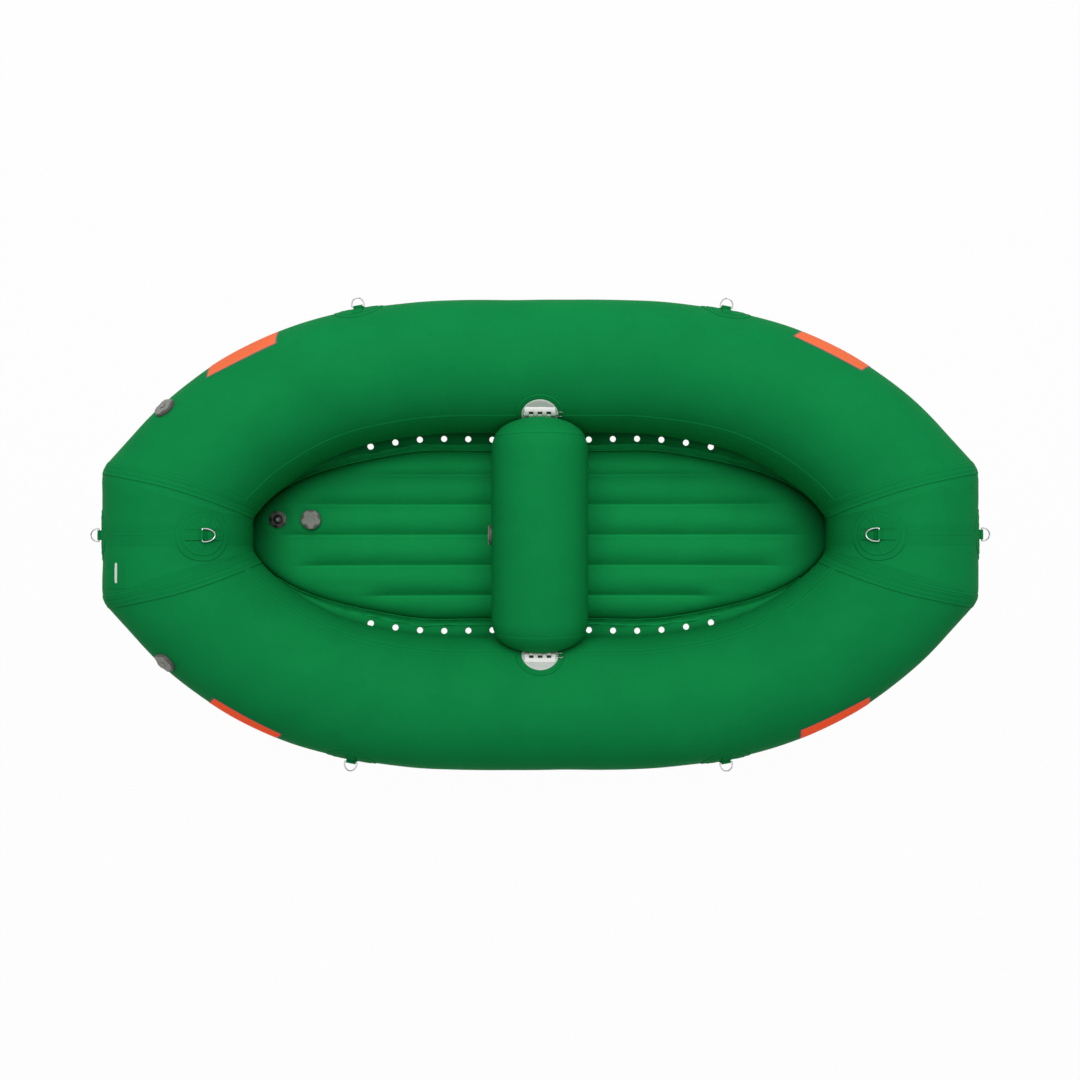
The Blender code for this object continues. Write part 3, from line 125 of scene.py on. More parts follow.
def side_skin(side, s, a, lift=0.0):
    """Points over a side tube at lengths s and angles a above its outer side."""
    s, a, lift = np.broadcast_arrays(np.asarray(s, float), np.asarray(a, float), np.asarray(lift, float))
    run = np.abs(s)
    x, y, h = plan(s)
    level = AXIS_HEIGHT + rise(x)
    radius = RADIUS + lift + slack(s * side, a) * np.clip((S3 - run) / 0.1, 0, 1)
    out = radius * np.cos(a)
    skew = np.clip((run - S2) / LEAD, 0, 1) * out * math.tan(BEND)
    shift = corner_shift(np.clip(skin_room(run, a), 0, None), CORNER_SWELL)
    px = x + out * np.sin(h) + skew * np.cos(h) + shift * math.sin(MITRE)
    py = y + out * np.cos(h) - skew * np.sin(h) + shift * math.cos(MITRE)
    pz = np.maximum(level + radius * np.sin(a), np.maximum(lift, 0))
    return np.stack((np.sign(s + 1e-9) * px, side * py, pz), -1)


def end_reach(a, lift=0.0):
    """Half length of an end tube's skin at an angle."""
    return END_HALF + (RADIUS + lift) * np.cos(a) * math.tan(BEND)


def end_skin(end, y, a, lift=0.0):
    """Points over an end tube at distances y from the centre line."""
    y, a, lift = np.broadcast_arrays(np.asarray(y, float), np.asarray(a, float), np.asarray(lift, float))
    room = np.clip(end_reach(a, lift) - np.abs(y), 0, None)
    radius = RADIUS + lift + slack(y * 1.7 + end, a) * np.clip(room / 0.1, 0, 1)
    shift = corner_shift(room, np.minimum(CORNER_SWELL, end_reach(a, lift)))
    px = X_END + radius * np.cos(a) + shift * math.cos(BEND)
    py = y + np.sign(y) * shift * math.sin(BEND)
    pz = AXIS_HEIGHT + ROCKER + radius * np.sin(a)
    return np.stack((end * px, py, pz), -1)


# Materials
NOISE_SPAN = (0.3, 0.7)


def linear(r, g, b):
    out = []
    for c in (r, g, b):
        c /= 255
        out.append(c / 12.92 if c <= 0.04045 else ((c + 0.055) / 1.055) ** 2.4)
    return (*out, 1)


class Nodes:
    """Short way to write the nodes of a material or a world."""

    def __init__(self, owner, shader="Principled BSDF"):
        owner.use_nodes = True
        self.owner = owner
        self.tree = owner.node_tree
        self.shader = self.tree.nodes[shader]

    def add(self, kind, **values):
        made = self.tree.nodes.new("ShaderNode" + kind)
        for key, value in values.items():
            if key in made.bl_rna.properties:
                setattr(made, key, value)
            else:
                made.inputs[key.replace("_", " ")].default_value = value
        return made

    def link(self, start, end):
        self.tree.links.new(start, end)

    def noise(self, where, scale, detail=3.0, rough=0.55):
        made = self.add("TexNoise", Scale=scale, Detail=detail, Roughness=rough)
        self.link(where, made.inputs["Vector"])
        return made.outputs["Fac"]

    def ranged(self, value, low, high, to_low, to_high):
        made = self.add("MapRange", From_Min=low, From_Max=high, To_Min=to_low, To_Max=to_high)
        self.link(value, made.inputs["Value"])
        return made.outputs["Result"]

    def soft(self, noise, low, high):
        """A noise's usual span carried over to another."""
        return self.ranged(noise, *NOISE_SPAN, low, high)

    def maths(self, operation, first, second):
        made = self.add("Math", operation=operation)
        for socket, value in zip(made.inputs, (first, second)):
            if isinstance(value, (int, float)):
                socket.default_value = value
            else:
                self.link(value, socket)
        return made.outputs[0]

    def seen(self):
        """1 for rays that look straight at a surface or see it in metal or through glass."""
        path = self.add("LightPath")
        straight = self.maths("MAXIMUM", path.outputs["Is Camera Ray"], path.outputs["Is Glossy Ray"])
        return self.maths("MAXIMUM", straight, path.outputs["Is Transmission Ray"])

    def colour(self, rgb):
        made = self.add("RGB").outputs[0]
        made.default_value = linear(*rgb)
        return made

    def mix(self, factor, *ends):
        made = self.add("Mix", data_type="RGBA")
        self.link(factor, made.inputs["Factor"])
        for socket, end in zip([s for s in made.inputs if s.type == "RGBA"], ends):
            socket.default_value = end
        return [s for s in made.outputs if s.type == "RGBA"][0]

    def paint(self, colour, low, high, light=None):
        """Base colour under a light factor and the mesh's tone, which runs from -1 to 1 and carries painted
        shade and light.
        """
        tone = self.add("Attribute", attribute_name="tone").outputs["Fac"]
        line = self.ranged(tone, -1, 1, low, high)
        made = self.add("VectorMath", operation="SCALE")
        self.link(colour, made.inputs[0])
        self.link(line if light is None else self.maths("MULTIPLY", light, line), made.inputs["Scale"])
        self.link(made.outputs["Vector"], self.shader.inputs["Base Color"])

    def bump(self, height, strength, distance, below=None):
        made = self.add("Bump", Strength=strength, Distance=distance)
        self.link(height, made.inputs["Height"])
        if below is not None:
            self.link(below, made.inputs["Normal"])
        return made.outputs["Normal"]


def coated_fabric(name, rgb, rough=0.5, spread=0.05, weave=0.5):
    """Rubber-coated cloth: faint weave, soft mottling, and painted shade and highlights from each mesh's tone,
    such as the lines at its seams.
    """
    n = Nodes(bpy.data.materials.new(name))
    place = n.add("TexCoord").outputs["Object"]
    mottle = n.noise(place, 5.5, 4.0, 0.6)
    cloud = n.noise(place, 42.0)
    light = n.maths("MULTIPLY", n.soft(mottle, 1 - spread, 1 + spread), n.soft(cloud, 0.985, 1.015))
    n.paint(n.colour(rgb), 0.25, 1.75, light)
    n.link(n.soft(cloud, rough - 0.05, rough + 0.06), n.shader.inputs["Roughness"])
    n.shader.inputs["Specular IOR Level"].default_value = 0.006
    grain = n.noise(place, 900.0, 2.0)
    cloth = n.add("UVMap").outputs["UV"]
    threads = []
    for direction in ("X", "Y"):
        wave = n.add("TexWave", bands_direction=direction, Scale=190.0)
        n.link(cloth, wave.inputs["Vector"])
        threads.append(wave.outputs["Fac"])
    fine = n.bump(n.maths("MULTIPLY", *threads), 0.05 * weave, 0.0004)
    fine = n.bump(grain, 0.12 * weave, 0.0006, fine)
    n.link(n.bump(cloud, 0.10, 0.002, fine), n.shader.inputs["Normal"])
    return n.owner


def moulded_plastic(name, rgb, rough=0.45, wear_and_painted_light=0.06):
    n = Nodes(bpy.data.materials.new(name))
    place = n.add("TexCoord").outputs["Object"]
    patchy = n.noise(place, 60.0, 4.0)
    n.paint(n.colour(rgb), 0.04, 1.96, n.soft(patchy, 1 - wear_and_painted_light, 1 + wear_and_painted_light))
    n.link(n.soft(patchy, rough - 0.06, rough + 0.08), n.shader.inputs["Roughness"])
    n.link(n.bump(n.noise(place, 1500.0, 2.0), 0.18, 0.0004), n.shader.inputs["Normal"])
    return n.owner


def bare_steel(name, dull, bright):
    n = Nodes(bpy.data.materials.new(name))
    rub = n.noise(n.add("TexCoord").outputs["Object"], 300.0)
    n.paint(n.mix(n.ranged(rub, 0.35, 0.65, 0, 1), linear(*dull), linear(*bright)), 0.05, 1.95)
    n.shader.inputs["Metallic"].default_value = 1
    n.link(n.soft(rub, 0.16, 0.3), n.shader.inputs["Roughness"])
    n.link(n.bump(rub, 0.05, 0.0003), n.shader.inputs["Normal"])
    return n.owner


GREEN = coated_fabric("green_coated_fabric", (19, 141, 73))
TRIM = coated_fabric("green_trim_fabric", (18, 138, 71), rough=0.52, spread=0.04)
HEM = coated_fabric("green_hem_fabric", (26, 165, 88), rough=0.52, spread=0.04)
# Painted light: the floor's cloth is a lighter copy of the tubes' green, making up for the shade the tubes cast
# on the floor.
FLOOR_CLOTH = coated_fabric("green_floor_fabric", (22, 153, 80), weave=0.8)
WEBBING = coated_fabric("green_webbing", (18, 137, 70), rough=0.65, spread=0.04, weave=2.0)
INNER = coated_fabric("inner_fabric", (16, 112, 58), rough=0.7)
ORANGE = coated_fabric("orange_label", (255, 122, 76), rough=0.42, spread=0.02, weave=0.3)
# Painted shade: the starboard labels take a shaded, redder copy of the orange.
SHADED_ORANGE = coated_fabric("shaded_orange_label", (255, 88, 46), rough=0.42, spread=0.02, weave=0.3)
LABEL_EDGE = coated_fabric("label_edge", (120, 122, 118), spread=0.03, weave=0.2)
WHITE_PLATE = moulded_plastic("white_plate", (240, 240, 236), 0.4, 0.03)
HINGE_PLASTIC = moulded_plastic("hinge_plastic", (250, 250, 247), 0.55, 0.03)
PLATE_GREY = moulded_plastic("plate_grey", (212, 217, 213), 0.48, 0.04)
VALVE_LIGHT = moulded_plastic("valve_light", (134, 135, 128), 0.5, 0.10)
VALVE_DARK = moulded_plastic("valve_dark", (82, 84, 79), 0.55, 0.08)
STEEL = bare_steel("stainless_steel", (176, 178, 179), (238, 240, 241))


# Meshes
def keep(obj, material, body="raft", replaces=(), angle=None):
    obj.data.materials.append(material)
    obj.data.shade_smooth()
    if angle is not None:
        obj.data.set_sharp_from_angle(angle=math.radians(angle))
    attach(obj, body)
    if replaces:
        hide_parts(*replaces)
    return obj


def new_object(name, mesh):
    obj = bpy.data.objects.new(name, mesh)
    bpy.context.scene.collection.objects.link(obj)
    return obj


def grid(name, points, uv=None, tone=0.0, wrap=False, flip=False):
    """Mesh of a grid of points (rows, columns, 3); a wrapped grid closes across its columns."""
    points = np.asarray(points, float)
    rows, columns = points.shape[:2]
    i, j = np.meshgrid(np.arange(rows - 1), np.arange(columns if wrap else columns - 1), indexing="ij")
    corners = np.stack([np.stack(at, -1) for at in ((i, j), (i, j + 1), (i + 1, j + 1), (i + 1, j))], 2)
    if flip:
        corners = corners[..., ::-1, :]
    quads = corners[..., 0] * columns + corners[..., 1] % columns
    mesh = bpy.data.meshes.new(name)
    mesh.from_pydata(points.reshape(-1, 3).tolist(), [], quads.reshape(-1, 4).tolist())
    row, column = corners.reshape(-1, 2).T
    u, v = (np.arange(rows) * 0.003, np.arange(columns + 1) * 0.001) if uv is None else uv
    if np.ndim(u) == 1:
        u, v = np.broadcast_arrays(u[:, None], v[None])
    flat = np.stack((u[row, column], v[row, column]), -1)
    mesh.uv_layers.new(name="UVMap").data.foreach_set("uv", flat.astype(np.float32).ravel())
    shade(mesh, np.broadcast_to(tone, (rows, columns)))
    return new_object(name, mesh)


def shade(mesh, tone):
    """Painted shade and light: a darker or lighter tone at each point of a mesh."""
    attribute = mesh.attributes.get("tone") or mesh.attributes.new("tone", "FLOAT", "POINT")
    attribute.data.foreach_set("value", np.asarray(tone, np.float32).ravel())


def outward(obj):
    """Faces of a closed or nearly closed mesh turned outwards."""
    bm = bmesh.new()
    bm.from_mesh(obj.data)
    bmesh.ops.recalc_face_normals(bm, faces=bm.faces)
    bm.to_mesh(obj.data)
    bm.free()
    return obj


def apply_modifiers(obj):
    made = bpy.data.meshes.new_from_object(obj.evaluated_get(bpy.context.evaluated_depsgraph_get()))
    obj.modifiers.clear()
    obj.data = made
    return obj


def thickened(obj, thickness, offset=0.0):
    """Open sheet given a thickness, centred on it or all to one side."""
    solid = obj.modifiers.new("thickness", "SOLIDIFY")
    solid.thickness = thickness
    solid.offset = offset
    return apply_modifiers(obj)


def steps(*stops):
    """Joined even runs: pairs of (end value, count) after a start value."""
    values = [stops[0]]
    for end, count in stops[1:]:
        values += list(np.linspace(values[-1], end, count + 1)[1:])
    return np.array(values)


def ridge(d, place, width):
    """Soft bump of unit height at a place."""
    return np.exp(-((d - place) / width) ** 2)


def ridges(d, *table):
    """Sum of soft bumps, each (height, place, width)."""
    return sum(height * ridge(d, place, width) for height, place, width in table)


def edge_fade(d, edge, width):
    """1 inside an edge and 0 outside it."""
    return 1 - smooth((np.abs(d) - edge) / width)


def node_frame(joint_name):
    """Place and axis of a joint of the frame."""
    for joint in frame["record"]["behaviour"]["joints"]:
        if joint["name"] == joint_name:
            return Vector(joint["pos_m"]), Vector(joint["axis"])
    raise KeyError(joint_name)


# Hull skins
ROUND = np.linspace(0, 2 * math.pi, 145)
AROUND = ROUND[:-1]
GIRTH = RADIUS * ROUND
CLOSE = 0.03

for name, side in SIDES.items():
    s = steps(-S3, (-S3 + CLOSE, 12), (-S2, 10), (S2, 200), (S3 - CLOSE, 10), (S3, 12))
    points = side_skin(side, s[:, None], AROUND)
    skin = grid(f"{name}_side_skin", points, (s, GIRTH), wrap=True, flip=side > 0)
    keep(skin, GREEN, replaces=[f"{name}_side_tube"])

for name, end in ENDS.items():
    v = steps(-1, (-0.85, 12), (0.85, 34), (1, 12))
    points = end_skin(end, v[:, None] * end_reach(AROUND), AROUND)
    skin = grid(f"{name}_end_skin", points, (v * END_HALF, GIRTH), wrap=True, flip=end < 0)
    keep(skin, GREEN, replaces=[f"{name}_tube"])

# Mitre tapes: (angle round the tube in degrees, distance from the mitre over the skin)
TAPE_PATH = ((-60, 0), (10, 0), (40, 0.014), (66, 0.032), (95, 0.050), (112, 0.053),
             (130, 0.050), (147, 0.043), (160, 0.036), (175, 0.027), (235, 0.004), (300, 0))
TAPE_HALF = 0.0235
TAPE_SHIFT = np.interp(np.degrees(AROUND), *zip(*TAPE_PATH), period=360)
for _ in range(12):
    TAPE_SHIFT = 0.25 * np.roll(TAPE_SHIFT, 1) + 0.5 * TAPE_SHIFT + 0.25 * np.roll(TAPE_SHIFT, -1)


def mitre_strip(side, end, d, lift):
    """Points across a mitre tape: d is the distance over the skin from its middle, towards the side tube."""
    a = np.broadcast_to(AROUND, (len(d), len(AROUND)))
    over = TAPE_SHIFT[None] + d[:, None]
    lift = np.broadcast_to(lift[:, None], a.shape)
    lead = LEAD * pinch(a)
    back = np.clip(over, 0, lead) / pinch(a) + np.clip(over - lead, 0, None) / stretch(a)
    on_side = side_skin(side, end * (S3 - back), a, lift)
    on_end = end_skin(end, side * (end_reach(a, lift) + np.minimum(over, 0)), a, lift)
    return np.where(over[..., None] >= 0, on_side, on_end)


for side_name, side in SIDES.items():
    for end_name, end in ENDS.items():
        d = steps(-0.0275, (-0.0215, 16), (0.0215, 48), (0.0275, 16))
        e = -side * d
        lift = 0.0007 + 0.0012 * edge_fade(d, TAPE_HALF - 0.001, 0.002)
        lift += ridges(e, (0.0004, 0.0205, 0.002), (0.0003, 0.004, 0.0025), (0.0003, -0.013, 0.0025))
        # Painted shade along the tape's edge that faces away from the light, a painted highlight beside it, and
        # faint painted lines of shade and highlight beside the tape's small ridges.
        tone = ridges(e, (-0.36, 0.0245, 0.0015), (0.16, 0.0205, 0.0022))
        faint = ridges(e, (-0.15, 0.010, 0.0022), (0.10, 0.004, 0.003), (-0.12, -0.006, 0.0022),
                       (0.10, -0.013, 0.003), (-0.12, -0.0185, 0.0018), (0.14, -0.0235, 0.002))
        wander = 0.35 + 0.65 * (0.5 + 0.5 * np.sin(AROUND * 5 + side + 2 * end))
        tape = grid(f"{side_name}_{end_name}_tape", mitre_strip(side, end, d, lift), (d, GIRTH), wrap=True,
                    flip=side * end < 0, tone=tone[:, None] + faint[:, None] * wander[None])
        keep(outward(tape), TRIM, replaces=[f"{side_name}_{end_name}_mitre_tape"])

# Centre tapes
for end_name, end in ENDS.items():
    y = steps(-0.0345, (-0.0305, 8), (-0.002, 14), (0.002, 8), (0.0305, 14), (0.0345, 8))
    lift = 0.0003 + 0.0002 * edge_fade(y, 0.0285, 0.006) + 0.0003 * ridge(y, 0, 0.0015)
    # Painted shade on the side of the middle ridge away from the light and a painted highlight on the side
    # towards it, fainter on the tube's inner side.
    tone = ridges(y, (-0.16, -0.0012, 0.0016), (0.06, 0.002, 0.002))
    fade = 0.35 + 0.65 * smooth((np.cos(AROUND) + 0.15) / 0.3)
    points = end_skin(end, y[:, None], AROUND[None], lift[:, None])
    tape = grid(f"{end_name}_middle_tape", points, (y, GIRTH), wrap=True, tone=tone[:, None] * fade)
    keep(outward(tape), TRIM, replaces=[f"{end_name}_centre_tape"])

# Seam strips
STRIP_EDGE = 0.0100
for name, side in SIDES.items():
    across = steps(-0.0135, (-STRIP_EDGE, 6), (STRIP_EDGE, 14), (0.0135, 6))
    s = steps(-1.315, (-1.30, 6), (1.30, 260), (1.315, 6))
    path = np.radians(147.8 + 10.2 * np.clip((np.abs(s) - 0.25) / 1.04, 0, 1) ** 2)
    lift = 0.0002 + 0.0015 * edge_fade(across, 0.0105, 0.0026)
    lift = lift[None] * (1 - 0.75 * smooth((np.abs(s) - 1.309) / 0.006))[:, None]
    # Painted highlights along the strip's raised edges, brighter on one edge, painted shade at the foot of each
    # edge, and painted highlights at the strip's ends.
    tone = 0.34 * ridge(np.abs(across), STRIP_EDGE, 0.0016) * (1 + 0.9 * (across > 0))
    tone = tone - 0.30 * ridge(np.abs(across), 0.0128, 0.0014)
    tone = tone[None] + 0.35 * ridge(np.abs(s), 1.307, 0.004)[:, None]
    points = side_skin(side, s[:, None], path[:, None] + across[None] / RADIUS, lift)
    strip = grid(f"{name}_inner_strip", points, (s, across), flip=side > 0, tone=tone)
    keep(strip, TRIM, replaces=[f"{name}_seam_strip"])


# Floor
FLOOR_LENGTH = X_END - RADIUS + 0.062
FLOOR_WIDTH = Y_SIDE - RADIUS - 0.054
CHANNEL = FLOOR_WIDTH * 0.359
FLOOR_THICK = 0.105
FLOOR_MID = 0.06
CHANNEL_ENDS = np.array((0.945, 0.876, 0.645)) * FLOOR_LENGTH
WEB_ENDS = np.array((0.92, 0.83, 0.553)) * FLOOR_LENGTH
WEBS = {"centre": 0, "port_inner": 1, "port_outer": 2, "starboard_inner": -1, "starboard_outer": -2}
SEAM_DROP = 0.35
SAG = SEAM_DROP * FLOOR_THICK / 2
ARC = (CHANNEL / 2) ** 2 / (2 * SAG) + SAG / 2
CROWN_RISE = 0.006
RIM_SWELL = 0.011
VALVE_SEATS = (("floor_valve_cap_twist", 0), ("relief_valve_poppet_slide", 0.012))


def floor_edge(x):
    plain = FLOOR_WIDTH * np.sqrt(np.clip(1 - (np.abs(x) / (FLOOR_LENGTH + 0.005)) ** 3, 0, None))
    return plain + 0.0015 + RIM_SWELL * ridge(np.abs(x), 0.45, 0.16)


def nearest_seam(y):
    """Count of the nearest seam from the centre line."""
    return np.clip(np.round(np.abs(y) / CHANNEL), 0, 2).astype(int)


def floor_height(x, y):
    """Height of the inflated floor over its mid-plane, round channels between sewn seams."""
    across = np.clip(np.abs(y) / floor_edge(x), 0, 1)
    along = np.abs(x) / FLOOR_LENGTH
    pillow = np.sqrt(1 - across**6) * np.sqrt(np.clip(1 - along**10, 0, None))
    seam = nearest_seam(y)
    off = np.clip(np.abs(np.abs(y) / CHANNEL - seam), 0, 0.5)
    fade = smooth((CHANNEL_ENDS[seam] - np.abs(x)) / 0.13)
    crown = (np.sqrt(ARC**2 - (CHANNEL * (0.5 - off)) ** 2) - (ARC - SAG)) / SAG
    groove = SEAM_DROP * (1 - crown) * fade
    return FLOOR_THICK / 2 * pillow * (1 - groove) + CROWN_RISE * (1 - (1 - crown) * fade) * pillow


def seat_dent(x, y):
    """Drop of the cloth under a valve's flange, deeper inside the relief valve's bore."""
    dent = 0
    for joint_name, bore in VALVE_SEATS:
        seat = node_frame(joint_name)[0]
        off = np.hypot(x - seat.x, y - seat.y)
        dent = dent + CROWN_RISE * edge_fade(off, 0.034, 0.022) + bore * edge_fade(off, 0.017, 0.012)
    return dent


def closing(end, depth, count):
    """Stations that close up towards an end."""
    return end - depth * (1 - np.linspace(0, 1, count)[1:]) ** 2


def floor_cloth(up):
    half = steps(0, (2 * CHANNEL, 78), (FLOOR_WIDTH - 0.02, 22))
    half = np.concatenate((half, closing(FLOOR_WIDTH, 0.02, 19)))
    margin = float(np.max(floor_edge(np.linspace(0, 1, 101)))) - FLOOR_WIDTH
    share = np.sqrt(half / FLOOR_WIDTH)
    xs = np.concatenate((steps(0, (FLOOR_LENGTH - 0.04, 110)), closing(FLOOR_LENGTH, 0.04, 15)))
    xs = np.concatenate((-xs[:0:-1], xs))
    wide = half[None] + margin * smooth((half[None] - 2 * CHANNEL) / 0.05)
    ys = np.minimum(wide, floor_edge(xs)[:, None] * share[None])
    ys = np.concatenate((-ys[:, :0:-1], ys), 1)
    x = np.broadcast_to(xs[:, None], ys.shape)
    height = floor_height(x, ys)
    seam = nearest_seam(ys)
    gap = np.abs(np.abs(ys) - seam * CHANNEL)
    fade = smooth((CHANNEL_ENDS[seam] - np.abs(x)) / 0.1)
    pucker = np.sin(x * 95 + 9 * np.sin(x * 11 + seam * 3) + 40 * ys) * ridge(gap, 0.009, 0.008)
    height = height + (0.0014 * ridge(gap, 0, 0.003) + 0.00045 * pucker) * fade
    height = height + 0.0006 * np.sin(x * 13 + 2 * np.sin(ys * 31)) * smooth(gap / 0.02)
    # Painted highlight on the lip of each groove and painted shade beside it, on the side away from the light;
    # painted light on the port outer channel and painted shade on the starboard one; painted shade towards the
    # ends, under the end tubes.
    flank = ys - np.sign(ys) * seam * CHANNEL
    line = ridges(flank, (0.26, -0.0035, 0.0025), (-0.10, 0.002, 0.004), (-0.04, 0.012, 0.014))
    wear_and_painted_light = 0.24 * smooth((ys - 1.95 * CHANNEL) / 0.03) - 0.12 * smooth((-ys - 2.05 * CHANNEL) / 0.03)
    painted_end_shade = (0.42 - 0.10 * np.sign(x)) * smooth((np.abs(x) - 0.90) / 0.16)
    tone = line * fade + wear_and_painted_light * edge_fade(x, 0.5, 0.4) - painted_end_shade
    if up > 0:
        height = height - seat_dent(x, ys)
    z = FLOOR_MID + rise(x) + up * (0.0018 + height)
    return np.stack((x, ys, z), -1), x, ys, tone * (up > 0)


for name, up in (("floor_top", 1), ("floor_bottom", -1)):
    points, x, ys, tone = floor_cloth(up)
    cloth = grid(name, points, (x, ys), tone=tone, flip=up < 0)
    keep(cloth, FLOOR_CLOTH, replaces=[f"{name}_skin"])

# Webs that tie the two skins along the seams
for name, row in WEBS.items():
    x = np.linspace(-WEB_ENDS[abs(row)], WEB_ENDS[abs(row)], 161)
    height = floor_height(x, row * CHANNEL) - 0.0022
    share = np.linspace(-1, 1, 9)
    wave = 0.0004 * np.sin(x * 60)[:, None] * (1 - share**2)[None]
    z = (FLOOR_MID + rise(x))[:, None] + height[:, None] * share
    points = np.stack((x[:, None] + 0 * share, row * CHANNEL + wave, z), -1)
    web = thickened(grid(f"{name}_web", points, (x, share * FLOOR_THICK / 2)), 0.0009)
    keep(web, INNER, replaces=[f"floor_web_{name}"], angle=50)

# Drain skirts
SKIRT_ANGLE = math.radians(225)
HOLE_PITCH = 0.0945
HOLE_COUNT = 15
HOLE_RADIUS = 0.0117
HOLE_SHIFT = 0.006
TUCK = 0.012
SKIRT_STRAIGHT = 0.98
LENGTHS = np.linspace(-S3, S3, 1201)
STATIONS = side_skin(1, LENGTHS, SKIRT_ANGLE)[:, 0]


def skirt_edges(side, x):
    inner = np.stack((x, side * (floor_edge(x) - TUCK), FLOOR_MID + rise(x)), -1)
    return inner, side_skin(side, np.interp(x, STATIONS, LENGTHS), SKIRT_ANGLE, 0.001)


def resampled(points, count):
    walk = np.concatenate(([0], np.cumsum(np.linalg.norm(np.diff(points, axis=0), axis=1))))
    even = np.linspace(0, walk[-1], count)
    return np.stack([np.interp(even, walk, points[:, k]) for k in range(points.shape[1])], -1)


def skirt_tail(side, end, start, count):
    """Edges of the skirt from a place along the floor round its nose to the centre line."""
    x = np.linspace(start, FLOOR_LENGTH - TUCK, 60)
    y = np.concatenate((floor_edge(x) - TUCK, np.linspace(floor_edge(x[-1]) - TUCK, 0, 20)[1:]))
    x = np.concatenate((x, np.full(19, x[-1])))
    inner = resampled(np.stack((end * x, side * np.maximum(y, 0), FLOOR_MID + rise(x)), -1), count)
    lengths = np.linspace(np.interp(start, STATIONS, LENGTHS), S3, 60)
    along = side_skin(side, end * lengths, SKIRT_ANGLE, 0.001)
    across = end_skin(end, side * np.linspace(end_reach(SKIRT_ANGLE), 0, 30), SKIRT_ANGLE, 0.001)
    return inner, resampled(np.concatenate((along, across)), count)


def hole_cutter(side):
    cutter = bmesh.new()
    for k in range(HOLE_COUNT):
        at = np.array([(k - (HOLE_COUNT - 1) / 2) * HOLE_PITCH + HOLE_SHIFT])
        low, high = skirt_edges(side, at)
        share = 0.42 + 0.12 * float(at[0] / 0.66) ** 2
        centre = Matrix.Translation(Vector(low[0] * (1 - share) + high[0] * share))
        bmesh.ops.create_cone(cutter, cap_ends=True, segments=28, radius1=HOLE_RADIUS, radius2=HOLE_RADIUS,
                              depth=0.04, matrix=centre)
    mesh = bpy.data.meshes.new("holes")
    cutter.to_mesh(mesh)
    cutter.free()
    return new_object("holes", mesh)


for name, side in SIDES.items():
    x = steps(-SKIRT_STRAIGHT, (SKIRT_STRAIGHT, 290))
    t = np.linspace(0, 1, 25)
    edges = skirt_edges(side, x)
    tails = [[tail[1:] for tail in skirt_tail(side, end, SKIRT_STRAIGHT, 60)] for end in (-1, 1)]
    inner, outer = (np.concatenate((tails[0][k][::-1], edges[k], tails[1][k])) for k in (0, 1))
    past = SKIRT_STRAIGHT + 0.002 * np.arange(1, 60)
    x = np.concatenate((-past[::-1], x, past))
    middle = inner[:, None] * (1 - t[None, :, None]) + outer[:, None] * t[None, :, None]
    sag = 0.004 * np.sin(math.pi * t)[None] * (1 + 0.5 * np.sin(x * 2 * math.pi / HOLE_PITCH)[:, None])
    pleat = 0.0016 * np.sin(x * 85 + 3 * np.sin(x * 17)) * smooth((np.abs(x) - 0.45) / 0.3)
    middle[..., 2] += -sag + pleat[:, None] * np.sin(math.pi * t)[None]
    # Painted light on the skirt: lighter towards the floor's rim and more so on the port side, with painted
    # shade towards the tube and towards the ends under the end tubes.
    lit = (0.55 if side > 0 else 0.35) * edge_fade(t, 0.4, 0.2) - 0.30 * smooth((t - 0.45) / 0.25)
    tone = lit[None] - 0.35 * smooth((np.abs(x) - 0.8) / 0.2)[:, None]
    skirt = thickened(grid(f"{name}_skirt", middle, (x, t * 0.1), tone=tone), 0.0013)
    holes = hole_cutter(side)
    cut = skirt.modifiers.new("holes", "BOOLEAN")
    cut.object = holes
    cut.solver = "EXACT"
    apply_modifiers(skirt)
    bpy.data.objects.remove(holes)
    keep(skirt, TRIM, replaces=[f"{name}_drain_skirt"], angle=40)

# Hem flap over the seam between the floor's rim and the skirt, with tabs towards the ends
TAB_START = 0.42
TAB_PITCH = 0.115
for name, side in SIDES.items():
    x = steps(-0.99, (0.99, 360))
    t = np.linspace(0, 1, 9)
    tabbed = np.abs(x) > TAB_START
    tab = np.where(tabbed, np.abs(((np.abs(x) - TAB_START) / TAB_PITCH) % 1), 0.5)
    width = 0.026 + 0.002 * np.sin(x * 23) + tabbed * 0.004 * smooth(tab / 0.25) * smooth((0.8 - tab) / 0.2)
    edge = floor_edge(x)
    slope = np.gradient(edge, x)
    norm = np.sqrt(1 + slope**2)
    run = width[:, None] * t[None] - 0.001
    px = x[:, None] - (slope / norm)[:, None] * run
    py = side * (edge[:, None] + (1 / norm)[:, None] * run)
    pz = FLOOR_MID + rise(x)[:, None] + 0.018 * (1 - t[None]) ** 2 + 0.0035
    pz = pz + 0.0012 * np.sin(x * 61 + 3 * np.sin(x * 19))[:, None] * np.sin(math.pi * t)[None]
    # Painted light on the hem: much lighter on the port side, a painted highlight along its raised edge and
    # another near its far edge, and painted shade at the tabs' steps.
    tone = (0.6 if side > 0 else 0.12) + 0.30 * edge_fade(t, 0, 0.16)[None] + 0.10 * ridge(t, 0.9, 0.1)[None]
    tone = tone - 0.16 * (tabbed * ridge(tab, 0.78, 0.05))[:, None]
    hem = grid(f"{name}_floor_hem", np.stack((px, py, pz), -1), (x, t * 0.026), tone=tone)
    keep(thickened(hem, 0.0014, -1), HEM, angle=50)

# Thwart
THWART_R = 0.1745
THWART_Z = 0.305
THWART_SEAM = 0.355
DOME_START = 0.30
DOME_DEPTH = 0.13
DOME_POWER = 2.2
SEAM_LAP = 0.006
SLOT = 0.0095
SOFT = 0.006


